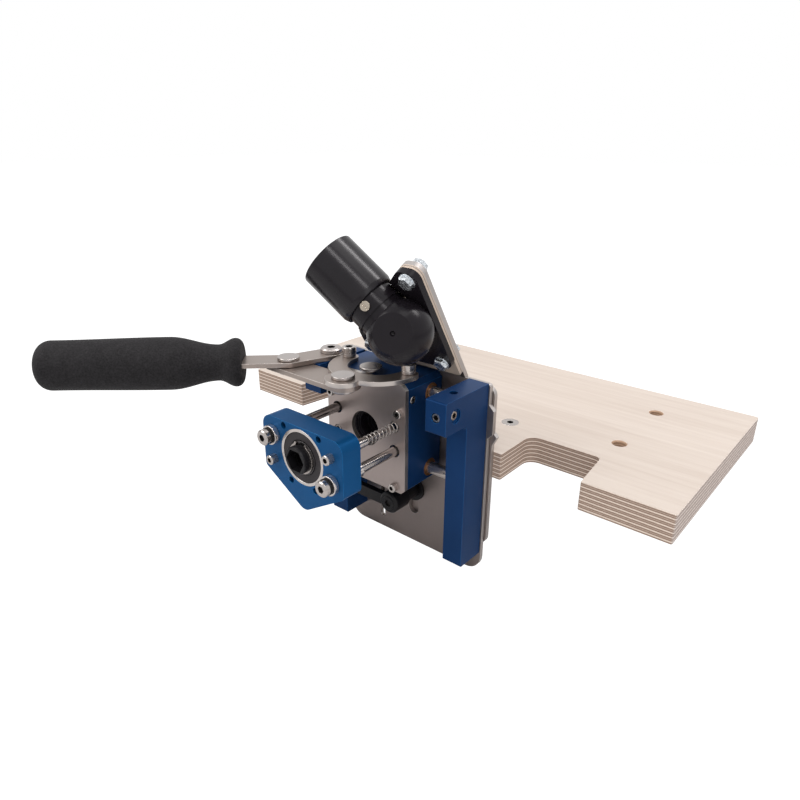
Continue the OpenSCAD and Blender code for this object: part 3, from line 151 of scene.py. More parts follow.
class Signal:
    """One output of a shader tree, on which Python's operators add Math nodes."""

    def __init__(self, graph: Graph, socket: bpy.types.NodeSocket) -> None:
        """Wraps a socket.

        Args:
            graph: the tree that the socket is in.
            socket: the output socket.
        """
        self.graph = graph
        self.socket = socket

    def _math(self, operation: str, first: Any, second: Any) -> Signal:
        """Adds one Math node.

        Args:
            operation: the Math node's operation.
            first: its first value or signal.
            second: its second value or signal.

        Returns:
            The node's output.
        """
        return self.graph.node("ShaderNodeMath", {"operation": operation}, {0: first, 1: second})

    def __add__(self, other: Any) -> Signal:
        """Returns self + other."""
        return self._math("ADD", self, other)

    def __radd__(self, other: Any) -> Signal:
        """Returns other + self."""
        return self._math("ADD", other, self)

    def __sub__(self, other: Any) -> Signal:
        """Returns self - other."""
        return self._math("SUBTRACT", self, other)

    def __rsub__(self, other: Any) -> Signal:
        """Returns other - self."""
        return self._math("SUBTRACT", other, self)

    def __mul__(self, other: Any) -> Signal:
        """Returns self * other."""
        return self._math("MULTIPLY", self, other)

    def __rmul__(self, other: Any) -> Signal:
        """Returns other * self."""
        return self._math("MULTIPLY", other, self)

    def __truediv__(self, other: Any) -> Signal:
        """Returns self / other."""
        return self._math("DIVIDE", self, other)

    def __rtruediv__(self, other: Any) -> Signal:
        """Returns other / self."""
        return self._math("DIVIDE", other, self)

    def __abs__(self) -> Signal:
        """Returns self without its sign."""
        return self._math("ABSOLUTE", self, 0.0)

    def clamped(self) -> Signal:
        """Returns self kept between 0 and 1."""
        return self._math("MAXIMUM", self._math("MINIMUM", self, 1.0), 0.0)

    def fraction(self) -> Signal:
        """Returns the part of self after the point."""
        return self._math("FRACT", self, 0.0)

    def swing(self, amount: float) -> Signal:
        """Returns noise as a swing about 0, of a given amount."""
        return (self - 0.5) * amount

    def within(self, middle: float, width: float, sharpness: float) -> Signal:
        """Marks a band of values.

        Args:
            middle: the band's middle.
            width: the band's width.
            sharpness: how steeply the mark falls off at the band's rims.

        Returns:
            1 in the band and 0 outside it.
        """
        return ((0.5 * width - abs(self - middle)) * sharpness + 0.5).clamped()


class Graph:
    """A material's shader tree."""

    def __init__(self, name: str) -> None:
        """Starts an empty material.

        Args:
            name: the material's name.
        """
        self.material = bpy.data.materials.new(name)
        self.material.use_nodes = True
        self.tree = self.material.node_tree
        self.tree.nodes.clear()

    def node(self, kind: str, settings: dict[str, Any] | None = None,
             inputs: dict[Any, Any] | None = None, output: int | str = 0) -> Signal:
        """Adds any node.

        Args:
            kind: the node's type name.
            settings: its properties, set first.
            inputs: values or signals for its sockets, by index or name.
            output: the output wanted, by index or name.

        Returns:
            The output as a signal.
        """
        new = self.tree.nodes.new(kind)
        for key, value in (settings or {}).items():
            setattr(new, key, value)
        for key, value in (inputs or {}).items():
            if isinstance(value, Signal):
                self.tree.links.new(value.socket, new.inputs[key])
            else:
                new.inputs[key].default_value = value
        return Signal(self, new.outputs[output])

    def place(self) -> Signal:
        """Returns the place on the object, in metres."""
        return self.node("ShaderNodeTexCoord", output="Object")

    def reach(self, direction: Point) -> Signal:
        """Measures how far the place lies along a direction.

        Args:
            direction: the direction, of length 1.

        Returns:
            The distance in millimetres.
        """
        dot = self.node("ShaderNodeVectorMath", {"operation": "DOT_PRODUCT"},
                        {0: self.place(), 1: direction}, "Value")
        return dot / MM

    def part(self, vector: Signal, axis: str) -> Signal:
        """Returns one component of a vector signal: "X", "Y" or "Z"."""
        return self.node("ShaderNodeSeparateXYZ", inputs={0: vector}, output=axis)

    def stretched(self, scale: Point) -> Signal:
        """Returns the place on the object, scaled on each axis."""
        return self.node("ShaderNodeMapping", inputs={"Vector": self.place(), "Scale": scale})

    def noise(self, scale: Point, detail: float = 3.0, rough: float = 0.5) -> Signal:
        """Adds noise whose grains have the size 1 / scale metres on each axis.

        Args:
            scale: grains per metre on each axis.
            detail: the noise's detail.
            rough: the noise's roughness.

        Returns:
            The noise, about 0.5 on average.
        """
        return self.node("ShaderNodeTexNoise", inputs={
            "Vector": self.stretched(scale), "Scale": 1.0, "Detail": detail, "Roughness": rough})

    def even_noise(self, scale: float, detail: float = 3.0, rough: float = 0.5) -> Signal:
        """Returns noise with grains of the same size on each axis."""
        return self.noise((scale, scale, scale), detail, rough)

    def mix(self, factor: Any, first: Any, second: Any) -> Signal:
        """Mixes two colours.

        Args:
            factor: 0 for the first, 1 for the second.
            first: colour or signal.
            second: colour or signal.

        Returns:
            The mixed colour.
        """
        a, b = ((*c, 1.0) if isinstance(c, tuple) else c for c in (first, second))
        return self.node("ShaderNodeMix", {"data_type": "RGBA"}, {0: factor, 6: a, 7: b}, 2)

    def bump(self, height: Signal, strength: float, distance: float) -> Signal:
        """Adds a bump.

        Args:
            height: the surface's height signal.
            strength: share of the bump that is used.
            distance: height in metres of a signal of 1.

        Returns:
            The bumped normal.
        """
        return self.node("ShaderNodeBump", inputs={
            "Height": height, "Strength": strength, "Distance": distance})

    def finish(self, **sockets: Any) -> bpy.types.Material:
        """Ends the tree in a Principled BSDF.

        Args:
            sockets: the shader's sockets by name, with an underscore for each space.

        Returns:
            The finished material.
        """
        inputs = {key.replace("_", " "): value for key, value in sockets.items()}
        return self.close(self.node("ShaderNodeBsdfPrincipled", inputs=inputs))

    def close(self, shader: Signal) -> bpy.types.Material:
        """Sends a shader to the material's surface.

        Args:
            shader: the shader.

        Returns:
            The finished material.
        """
        out = self.tree.nodes.new("ShaderNodeOutputMaterial")
        self.tree.links.new(shader.socket, out.inputs["Surface"])
        return self.material


# Finishes


@dataclass(frozen=True)
class Finish:
    """A surface finish. Its material is made once and shared."""

    name: str
    slot: str

    def build(self) -> bpy.types.Material:
        """Makes the material. Each finish has its own."""
        raise NotImplementedError

    @property
    def label(self) -> str:
        """Returns the material's name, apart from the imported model's own materials."""
        return self.name + "_finish"

    def material(self) -> bpy.types.Material:
        """Returns the shared material."""
        found = bpy.data.materials.get(self.label)
        return found if found else self.build()


@dataclass(frozen=True)
class Anodised(Finish):
    """Bead-blasted and anodised aluminium."""

    colour: Colour = (0.007, 0.047, 0.150)
    metallic: float = 0.25
    roughness: float = 0.40
    blast_grains: float = 2600.0
    dye_clouds: float = 38.0
    unevenness: float = 0.18
    gloss_swing: float = 0.10

    def build(self) -> bpy.types.Material:
        """Makes the material, with fine blasting and slightly uneven dye.

        Returns:
            The material.
        """
        g = Graph(self.label)
        blast = g.even_noise(self.blast_grains, detail=2.0)
        cloud = g.even_noise(self.dye_clouds)
        dark = toned(self.colour, 1.0 - self.unevenness)
        light = toned(self.colour, 1.0 + self.unevenness, lift=0.002)
        return g.finish(Base_Color=g.mix(cloud, dark, light), Metallic=self.metallic,
                        Roughness=self.roughness + cloud.swing(self.gloss_swing),
                        Normal=g.bump(blast, strength=0.35, distance=0.00004), Specular_IOR_Level=0.12)


@dataclass(frozen=True)
class Steel(Finish):
    """Bare steel, brushed or ground along one direction."""

    colour: Colour = (0.42, 0.40, 0.375)
    roughness: float = 0.33
    along: Along = Along.Z
    streak: float = 0.18
    grains_along: float = 90.0
    grains_across: float = 2400.0
    marks: float = 55.0
    contrast: float = 0.26
    smudge: float = 0.22
    smudge_gloss: float = 0.16
    brush_gloss: float = 0.10

    def build(self) -> bpy.types.Material:
        """Makes the material, with streaks along its direction and faint handling marks.

        Returns:
            The material.
        """
        g = Graph(self.label)
        brush = g.noise(tuple(self.grains_along if a else self.grains_across for a in self.along.value),
                        detail=4.0, rough=0.6)
        cloud = g.even_noise(self.marks, detail=4.0, rough=0.55)
        shade = brush.swing(self.streak) + cloud.swing(self.smudge) + 0.5
        dark, light = toned(self.colour, 1.0 - self.contrast), toned(self.colour, 1.0 + self.contrast)
        gloss = cloud.swing(self.smudge_gloss) + brush.swing(self.brush_gloss)
        return g.finish(Base_Color=g.mix(shade.clamped(), dark, light), Metallic=0.92,
                        Roughness=self.roughness + gloss,
                        Normal=g.bump(brush, strength=0.5, distance=0.00003))


@dataclass(frozen=True)
class Zinc(Finish):
    """Bright zinc plating with a crystalline glitter."""

    colour: Colour = (0.80, 0.84, 0.88)
    flakes: float = 1500.0
    darkest: float = 0.45
    roughness: float = 0.18
    flake_gloss: float = 0.14

    def build(self) -> bpy.types.Material:
        """Makes the material, from small flakes of light and shade.

        Returns:
            The material.
        """
        g = Graph(self.label)
        cells = g.node("ShaderNodeTexVoronoi", {"feature": "F1"},
                       {"Vector": g.place(), "Scale": self.flakes}, "Color")
        flake = g.part(cells, "X")
        return g.finish(Base_Color=g.mix(flake, toned(self.colour, self.darkest), self.colour),
                        Metallic=0.95, Roughness=self.roughness + flake * self.flake_gloss,
                        Normal=g.bump(flake, strength=0.4, distance=0.00006))


@dataclass(frozen=True)
class Moulded(Finish):
    """Moulded plastic or rubber with a fine skin."""

    colour: Colour = (0.010, 0.009, 0.010)
    roughness: float = 0.34
    skin: float = 1400.0
    depth: float = 0.00003
    wear: float = 0.08
    shine: float = 0.17
    marks: float = 60.0
    rubbed: float = 1.7
    skin_gloss: float = 0.08

    def build(self) -> bpy.types.Material:
        """Makes the material, with a fine skin and faint handling marks.

        Returns:
            The material.
        """
        g = Graph(self.label)
        skin = g.even_noise(self.skin, detail=2.0)
        rub = g.even_noise(self.marks, detail=5.0, rough=0.6)
        rubbed = toned(self.colour, self.rubbed, lift=0.001)
        return g.finish(Base_Color=g.mix(rub, self.colour, rubbed),
                        Roughness=self.roughness + rub.swing(self.wear * 2) + skin.swing(self.skin_gloss),
                        Normal=g.bump(skin, strength=0.5, distance=self.depth),
                        Specular_IOR_Level=self.shine)


@dataclass(frozen=True)
class FoamGrip(Finish):
    """Dense black foam with an even pebbled skin."""

    colour: Colour = (0.0065, 0.0060, 0.0066)
    cells: float = 900.0
    patches: float = 150.0
    specks: float = 1500.0
    lightest: float = 3.6
    cell_share: float = 0.9
    patch_share: float = 0.7
    speck_share: float = 0.9
    speck_relief: float = 0.8
    roughness: float = 0.86
    patch_gloss: float = 0.12

    def build(self) -> bpy.types.Material:
        """Makes the material, from small round cells.

        Returns:
            The material.
        """
        g = Graph(self.label)
        cells = g.node("ShaderNodeTexVoronoi", {"feature": "SMOOTH_F1"},
                       {"Vector": g.place(), "Scale": self.cells, "Smoothness": 0.6}, "Distance")
        patch = g.even_noise(self.patches, detail=4.0, rough=0.65)
        speck = g.even_noise(self.specks, detail=2.0)
        shade = cells * self.cell_share + patch.swing(self.patch_share) + speck.swing(self.speck_share)
        lightest = toned(self.colour, self.lightest)
        return g.finish(Base_Color=g.mix(shade.clamped(), self.colour, lightest),
                        Roughness=self.roughness - patch * self.patch_gloss,
                        Normal=g.bump(cells + speck * self.speck_relief, strength=0.8, distance=0.00022),
                        Specular_IOR_Level=0.22)


@dataclass(frozen=True)
class Birch(Finish):
    """Sanded birch veneer, with its grain along X."""

    light: Colour = (0.652, 0.578, 0.514)
    dark: Colour = (0.512, 0.430, 0.369)
    fleck_colour: Colour = (0.56, 0.40, 0.27)
    waves: Point = (3.0, 22.0, 3.0)
    bands: Point = (7.0, 210.0, 20.0)
    fibres: Point = (70.0, 2600.0, 300.0)
    flecks: Point = (160.0, 1300.0, 300.0)
    wave_share: float = 1.0
    band_share: float = 1.3
    fibre_share: float = 0.60
    darkness: float = 0.34
    fleck_from: float = 0.66
    fleck_sharpness: float = 8.0
    fleck_share: float = 0.22
    roughness: float = 0.62
    fibre_gloss: float = 0.10

    def build(self) -> bpy.types.Material:
        """Makes the material, from slow bands, fine fibres and small flecks.

        Returns:
            The material.
        """
        g = Graph(self.label)
        wave = g.noise(self.waves, rough=0.55)
        band = g.noise(self.bands, detail=4.0, rough=0.6)
        fibre = g.noise(self.fibres, rough=0.6)
        fleck = g.noise(self.flecks, detail=2.0)
        shade = (wave.swing(self.wave_share) + band.swing(self.band_share)
                 + fibre.swing(self.fibre_share) + self.darkness)
        colour = g.mix(shade.clamped(), self.light, self.dark)
        flecked = ((fleck - self.fleck_from) * self.fleck_sharpness).clamped() * self.fleck_share
        return g.finish(Base_Color=g.mix(flecked, colour, self.fleck_colour),
                        Roughness=self.roughness + fibre.swing(self.fibre_gloss),
                        Normal=g.bump(fibre, strength=0.4, distance=0.00005), Specular_IOR_Level=0.30)


@dataclass(frozen=True)
class PlyEdge(Finish):
    """Cut edge of plywood, whose plies lie level. On the right-facing faces of the table's right end, lighter
    colours are painted light.
    """

    pitch: float = 18.0 / 6.5
    share: float = 0.28
    core_share: float = 0.07
    end_grain: Colour = (0.300, 0.195, 0.142)
    long_grain: Colour = (0.830, 0.700, 0.600)
    # lighter ply colours for the right-facing faces at the table's right end: painted light
    painted_light_end_grain: Colour = (0.430, 0.340, 0.300)
    painted_light_long_grain: Colour = (0.860, 0.765, 0.705)
    painted_light_from: float = 0.12
    pores: Point = (420.0, 420.0, 1500.0)
    streaks: Point = (60.0, 60.0, 900.0)
    drift: float = 45.0
    waver: float = 0.35
    rim: float = 14.0
    core_rim: float = 18.0
    painted_light_rim: float = 50.0
    pore_from: float = 0.25
    pore_gain: float = 1.5
    pore_dark: float = 0.28
    pore_pale: float = 0.16
    streak_dark: float = 0.14
    core_cover: float = 0.60
    light_cover: float = 0.925

    def build(self) -> bpy.types.Material:
        """Makes the material: thin light plies between darker end grain, with uneven glue lines.

        Returns:
            The material.
        """
        g = Graph(self.label)
        level = (g.reach(UP) + g.even_noise(self.drift, detail=2.0).swing(self.waver)) / self.pitch
        at = level.fraction()
        light_ply = at.within(0.5, self.share, self.rim)
        core = (at + 0.5).fraction().within(0.5, self.core_share, self.core_rim)
        pores = g.noise(self.pores, detail=4.0, rough=0.7)
        streak = g.noise(self.streaks, rough=0.6)
        # faces that look right, past a place on the table's right end, take the lighter colours: painted
        # light
        facing = g.part(g.node("ShaderNodeTexCoord", output="Normal"), "X")
        right_end = ((g.part(g.place(), "X") - self.painted_light_from) * self.painted_light_rim).clamped()
        side = facing.clamped() * right_end
        end_grain = g.mix(side, self.end_grain, self.painted_light_end_grain)
        long_grain = g.mix(side, self.long_grain, self.painted_light_long_grain)
        dark = g.mix((pores - self.pore_from) * self.pore_gain, g.mix(self.pore_dark, end_grain, BLACK),
                     g.mix(self.pore_pale, end_grain, PALE))
        light = g.mix(streak, g.mix(self.streak_dark, long_grain, BLACK), long_grain)
        body = g.mix(core * self.core_cover, dark, light)
        return g.finish(Base_Color=g.mix(light_ply * self.light_cover, body, light), Roughness=0.78,
                        Normal=g.bump(pores, strength=0.5, distance=0.00012), Specular_IOR_Level=0.25)


@dataclass(frozen=True)
class Laminate(Finish):
    """Cut edge and face of the hood's three-layer board."""

    normal: Point = UP
    front: float = 0.0
    thick: float = 3.0
    light: Colour = (0.560, 0.455, 0.370)
    core: Colour = (0.235, 0.205, 0.190)
    core_at: float = 0.70
    core_share: float = 0.18
    core_rim: float = 16.0
    fibres: float = 350.0
    light_range: tuple[float, float] = (0.84, 1.14)
    core_range: tuple[float, float] = (0.8, 1.25)

    def build(self) -> bpy.types.Material:
        """Makes the material: a grey-brown core between two light layers.

        Returns:
            The material.
        """
        g = Graph(self.label)
        depth = (self.front - g.reach(self.normal)) / self.thick
        core = depth.within(self.core_at, self.core_share, self.core_rim)
        fibre = g.even_noise(self.fibres, detail=4.0, rough=0.7)
        light = g.mix(fibre, *(toned(self.light, factor) for factor in self.light_range))
        dark = g.mix(fibre, *(toned(self.core, factor) for factor in self.core_range))
        return g.finish(Base_Color=g.mix(core, light, dark), Roughness=0.7,
                        Normal=g.bump(fibre, strength=0.4, distance=0.00008), Specular_IOR_Level=0.3)


BLUE = Anodised("blue_shield", "blue_anodised", (0.002, 0.068, 0.200), 0.45, 0.42)
# a lighter blue on the eased edges of the shield: painted highlight
BLUE_PAINTED_HIGHLIGHT = Anodised("blue_shield_painted_highlight", "blue_anodised", (0.016, 0.210, 0.500), 0.60, 0.30)
DEEP_BLUE = Anodised("blue_block", "blue_anodised", (0.004, 0.034, 0.118), 0.40, 0.42)
# a lighter blue on the eased edges of the block and brackets: painted highlight
DEEP_BLUE_PAINTED_HIGHLIGHT = Anodised("blue_block_painted_highlight", "blue_anodised", (0.014, 0.150, 0.430), 0.55, 0.30)
SHEET = Steel("tumbled_sheet", "tumbled_steel", (0.262, 0.222, 0.210), 0.42, Along.Z, 0.16)
SHEET_EDGE = Steel("cut_sheet_edge", "tumbled_steel", (0.440, 0.410, 0.396), 0.42, Along.Z, 0.30)
PLATE = Steel("carriage_plate_steel", "grey_steel", (0.345, 0.292, 0.276), 0.38, Along.Z, 0.20)
BAR = Steel("lever_steel", "grey_steel", (0.325, 0.275, 0.248), 0.36, Along.X, 0.26)
BAR_EDGE = Steel("lever_steel_edge", "grey_steel", (0.500, 0.455, 0.425), 0.30, Along.X, 0.30)
# on the plunge and cross rods the strong streaks along the rod are partly grinding marks and partly painted
# reflections
RODS = Steel("plunge_rod_steel", "grey_steel", (0.400, 0.370, 0.355), 0.20, Along.Y, 0.75)
CROSS = Steel("cross_rod_steel", "bright_steel", (0.430, 0.385, 0.360), 0.24, Along.X, 0.60)
POLISHED = Steel("polished_steel", "bright_steel", (0.560, 0.520, 0.500), 0.20, Along.Y, 0.30)
SMOKED = Steel("smoked_steel", "bright_steel", (0.060, 0.056, 0.058), 0.26, Along.Y, 0.30)
SCREW = Steel("turned_screw_steel", "screw_steel", (0.440, 0.405, 0.385), 0.22, Along.Z, 0.40)
DISC = Steel("rivet_head_steel", "screw_steel", (0.410, 0.375, 0.360), 0.30, Along.X, 0.40)
BRASSY = Steel("neck_screw_steel", "screw_steel", (0.400, 0.350, 0.290), 0.26, Along.X, 0.40)
# near-black on the walls and floor of the screws' hex sockets: painted shade
PAINTED_SOCKET_SHADE = Moulded("painted_socket_shade", "screw_steel", (0.010, 0.009, 0.009), 0.40)
WIRE = Steel("drawn_spring_wire", "spring_steel", (0.380, 0.345, 0.325), 0.26, Along.Y, 0.20)
BRONZE = Steel("sintered_bronze", "bronze", (0.300, 0.140, 0.055), 0.42, Along.X, 0.20)
ZINC = Zinc("bright_zinc", "screw_steel")
BLACK_PLASTIC = Moulded("black_moulding", "black_plastic", (0.0072, 0.0058, 0.0076), 0.24, depth=0.000006)
CUFF_PLASTIC = Moulded("cuff_moulding", "black_plastic", (0.0068, 0.0055, 0.0072), 0.23, depth=0.000002,
                       wear=0.05, shine=0.25)
BLACK_STEEL = Moulded("blackened_steel", "black_steel", (0.0060, 0.0056, 0.0066), 0.34, 900.0, 0.00004, 0.12)
RUBBER = Moulded("soft_rubber", "black_rubber", (0.006, 0.0055, 0.006), 0.50, 1200.0, 0.00005, 0.10)
SEAL = Moulded("seal_rubber", "black_rubber", (0.026, 0.023, 0.025), 0.46, 1200.0, 0.00006, 0.10)
FOAM = FoamGrip("grip_foam", "grip_plastic")
BIRCH = Birch("birch_face", "birch_ply")
PLY = PlyEdge("birch_edge", "birch_ply")
HOLE = PlyEdge("bored_birch", "birch_ply", end_grain=(0.470, 0.290, 0.180), long_grain=(0.680, 0.500, 0.370),
               painted_light_from=1.0)


# Pieces


@dataclass(frozen=True)
class Studs:
    """A set of like screws: where each is seated and which way its head looks."""

    places: tuple[Point, ...]
    looks: tuple[Point, ...]

    @staticmethod
    def alike(places: Iterable[Point], look: Point) -> Studs:
        """Returns a set whose heads all look the same way."""
        found = tuple(places)
        return Studs(found, (look,) * len(found))


@dataclass(frozen=True)
class Screw:
    """Sizes of one screw, in millimetres. Its seat is at height 0."""

    head: float  # diameter
    height: float  # of the head
    socket: float  # across the flats
    shank: float  # diameter
    length: float  # of the shank
    foot: float = 0.0  # diameter of a countersunk head's lower end
    chamfer: float = 0.35
    sides: int = 48


SOCKET_DEPTH = 0.55  # share of a screw's head
BOLT_CROWN = 0.86  # width of a hexagon head's top, as a share of the head
SHANK_SIDES = 24


class Field:
    """A Geometry Nodes tree with named inputs for its sizes."""

    def __init__(self, name: str, floats: Sequence[str], ints: Sequence[str] = ()) -> None:
        """Starts a tree that takes a geometry, its sizes and a material.

        Args:
            name: the tree's name.
            floats: names of its inputs for sizes.
            ints: names of its inputs for counts.
        """
        self.tree = bpy.data.node_groups.new(name, "GeometryNodeTree")
        face = self.tree.interface
        face.new_socket("Geometry", in_out="INPUT", socket_type="NodeSocketGeometry")
        for label in floats:
            face.new_socket(label, in_out="INPUT", socket_type="NodeSocketFloat")
        for label in ints:
            face.new_socket(label, in_out="INPUT", socket_type="NodeSocketInt")
        face.new_socket("Material", in_out="INPUT", socket_type="NodeSocketMaterial")
        face.new_socket("Geometry", in_out="OUTPUT", socket_type="NodeSocketGeometry")
        self.inputs = self.tree.nodes.new("NodeGroupInput")
        self.output = self.tree.nodes.new("NodeGroupOutput")

    def given(self, label: str) -> bpy.types.NodeSocket:
        """Returns the tree's own input of that name."""
        return self.inputs.outputs[label]

    def add(self, kind: str, settings: dict[str, Any] | None = None,
            inputs: dict[Any, Any] | None = None, output: int | str = 0) -> bpy.types.NodeSocket:
        """Adds a node.

        Args:
            kind: the node's type name.
            settings: its properties.
            inputs: values, sockets or lists of sockets for its inputs.
            output: the output wanted.

        Returns:
            The output socket.
        """
        new = self.tree.nodes.new(kind)
        for key, value in (settings or {}).items():
            setattr(new, key, value)
        for key, value in (inputs or {}).items():
            for one in value if isinstance(value, list) else [value]:
                if isinstance(one, bpy.types.NodeSocket):
                    self.tree.links.new(one, new.inputs[key])
                else:
                    new.inputs[key].default_value = one
        return new.outputs[output]

    def math(self, first: Any, operation: str, second: Any) -> bpy.types.NodeSocket:
        """Returns the result of one Math node."""
        return self.add("ShaderNodeMath", {"operation": operation}, {0: first, 1: second})

    def joined(self, *parts: bpy.types.NodeSocket) -> bpy.types.NodeSocket:
        """Returns several geometries as one."""
        return self.add("GeometryNodeJoinGeometry", inputs={0: list(parts)})

    def flipped(self, geometry: bpy.types.NodeSocket) -> bpy.types.NodeSocket:
        """Returns the geometry with its faces turned round."""
        return self.add("GeometryNodeFlipFaces", inputs={0: geometry})

    def lifted(self, geometry: bpy.types.NodeSocket, height: Any) -> bpy.types.NodeSocket:
        """Returns the geometry moved up."""
        return self.add("GeometryNodeTransform", inputs={
            0: geometry, "Translation": self.add("ShaderNodeCombineXYZ", inputs={"Z": height})})

    def circle(self, sides: Any, radius: Any, filled: bool = False) -> bpy.types.NodeSocket:
        """Returns a circle about the axis, as an outline or as one face that looks up."""
        return self.add("GeometryNodeMeshCircle", {"fill_type": "NGON" if filled else "NONE"},
                        {"Vertices": sides, "Radius": radius})

    def wall(self, sides: Any, low: Any, high: Any, depth: Any) -> bpy.types.NodeSocket:
        """Returns an open cone between a low and a high radius, standing on height 0."""
        return self.add("GeometryNodeMeshCone", {"fill_type": "NONE"}, {
            "Vertices": sides, "Radius Bottom": low, "Radius Top": high, "Depth": depth})

    def shank(self) -> bpy.types.NodeSocket:
        """Returns a screw's shank, hanging down from height 0.

        Returns:
            The shank's geometry.
        """
        length = self.given("Shank Length")
        rod = self.add("GeometryNodeMeshCylinder", {"fill_type": "NGON"}, {
            "Vertices": SHANK_SIDES, "Radius": self.given("Shank Radius"), "Depth": length})
        return self.lifted(rod, self.math(length, "MULTIPLY", -0.5))

    def merged(self, geometry: bpy.types.NodeSocket) -> bpy.types.NodeSocket:
        """Returns the geometry with the points of its seams joined."""
        return self.add("GeometryNodeMergeByDistance", inputs={0: geometry, "Distance": MERGE})

    def spread(self, thing: bpy.types.NodeSocket) -> bpy.types.NodeSocket:
        """Puts a thing on each of the given points, along the point's "look".

        Args:
            thing: the geometry to put there.

        Returns:
            All of them as instances.
        """
        look = self.add("GeometryNodeInputNamedAttribute", {"data_type": "FLOAT_VECTOR"}, {"Name": "look"})
        turn = self.add("FunctionNodeAlignRotationToVector", {"axis": "Z"}, {"Vector": look})
        points = self.add("GeometryNodeMeshToPoints", inputs={0: self.given("Geometry")})
        return self.add("GeometryNodeInstanceOnPoints",
                        inputs={0: points, "Instance": thing, "Rotation": turn})

    def close(self, geometry: bpy.types.NodeSocket,
              marked: tuple[str, Finish] | None = None) -> bpy.types.GeometryNodeTree:
        """Ends the tree in Realize Instances and Set Material.

        Args:
            geometry: what the tree makes.
            marked: the name of a mark on some faces, and the finish that they take.

        Returns:
            The tree.
        """
        real = self.add("GeometryNodeRealizeInstances", inputs={0: geometry})
        dressed = self.add("GeometryNodeSetMaterial", inputs={0: real, "Material": self.given("Material")})
        if marked:
            mark, finish = marked
            chosen = self.add("GeometryNodeInputNamedAttribute", {"data_type": "BOOLEAN"}, {"Name": mark})
            dressed = self.add("GeometryNodeSetMaterial", inputs={
                0: dressed, "Selection": chosen, "Material": finish.material()})
        self.tree.links.new(dressed, self.output.inputs[0])
        return self.tree


def screw_tree() -> bpy.types.GeometryNodeTree:
    """Makes the tree that puts a socket screw on each point, along the point's "look".

    Returns:
        The tree.
    """
    f = Field("socket_screws", ["Head Radius", "Foot Radius", "Head Height", "Chamfer", "Socket Radius",
                                "Shank Radius", "Shank Length"], ["Sides"])
    top, sides, chamfer = f.given("Head Height"), f.given("Sides"), f.given("Chamfer")
    head, foot, socket = f.given("Head Radius"), f.given("Foot Radius"), f.given("Socket Radius")
    rim = f.math(head, "SUBTRACT", chamfer)
    shoulder = f.math(top, "SUBTRACT", chamfer)
    deep = f.math(top, "MULTIPLY", SOCKET_DEPTH)
    outlines = f.joined(f.circle(sides, rim), f.circle(6, socket))
    face = f.add("GeometryNodeFillCurve", inputs={0: f.add("GeometryNodeMeshToCurve", inputs={0: outlines})})
    hollow = f.joined(f.circle(6, socket, filled=True), f.flipped(f.wall(6, socket, socket, deep)))
    # the socket's walls and floor are marked for the near-black finish, which is painted shade
    marked = f.add("GeometryNodeStoreNamedAttribute", {"data_type": "BOOLEAN", "domain": "FACE"},
                   {0: hollow, "Name": "in_socket", "Value": True})
    screw = f.joined(
        f.lifted(face, top), f.wall(sides, foot, head, shoulder),
        f.lifted(f.wall(sides, head, rim, chamfer), shoulder),
        f.lifted(marked, f.math(top, "SUBTRACT", deep)),
        f.flipped(f.circle(sides, foot, filled=True)), f.shank())
    return f.close(f.spread(f.merged(screw)), ("in_socket", PAINTED_SOCKET_SHADE))


def bolt_tree() -> bpy.types.GeometryNodeTree:
    """Makes the tree that puts a hexagon bolt on each point, along the point's "look".

    Returns:
        The tree.
    """
    f = Field("hexagon_bolts", ["Head Radius", "Head Height", "Chamfer", "Shank Radius", "Shank Length"])
    top, chamfer, head = f.given("Head Height"), f.given("Chamfer"), f.given("Head Radius")
    shoulder = f.math(top, "SUBTRACT", chamfer)
    crown = f.math(head, "MULTIPLY", BOLT_CROWN)
    bolt = f.joined(
        f.wall(6, head, head, shoulder), f.lifted(f.wall(6, head, crown, chamfer), shoulder),
        f.lifted(f.circle(6, crown, filled=True), top), f.flipped(f.circle(6, head, filled=True)), f.shank())
    return f.close(f.spread(f.merged(bolt)))


def coil_tree() -> bpy.types.GeometryNodeTree:
    """Makes the tree that winds a spring along each point's "look".

    Returns:
        The tree.
    """
    f = Field("coil_springs", ["Coil Radius", "Wire Radius", "Length"], ["Turns"])
    coil, wire = f.given("Coil Radius"), f.given("Wire Radius")
    spiral = f.add("GeometryNodeCurveSpiral", inputs={
        "Resolution": 28, "Rotations": f.given("Turns"), "Start Radius": coil, "End Radius": coil,
        "Height": f.math(f.given("Length"), "SUBTRACT", f.math(wire, "MULTIPLY", 2.0))})
    section = f.add("GeometryNodeCurvePrimitiveCircle", inputs={"Resolution": 10, "Radius": wire})
    spring = f.add("GeometryNodeCurveToMesh", inputs={0: spiral, 1: section, "Fill Caps": True})
    return f.close(f.spread(f.lifted(spring, wire)))


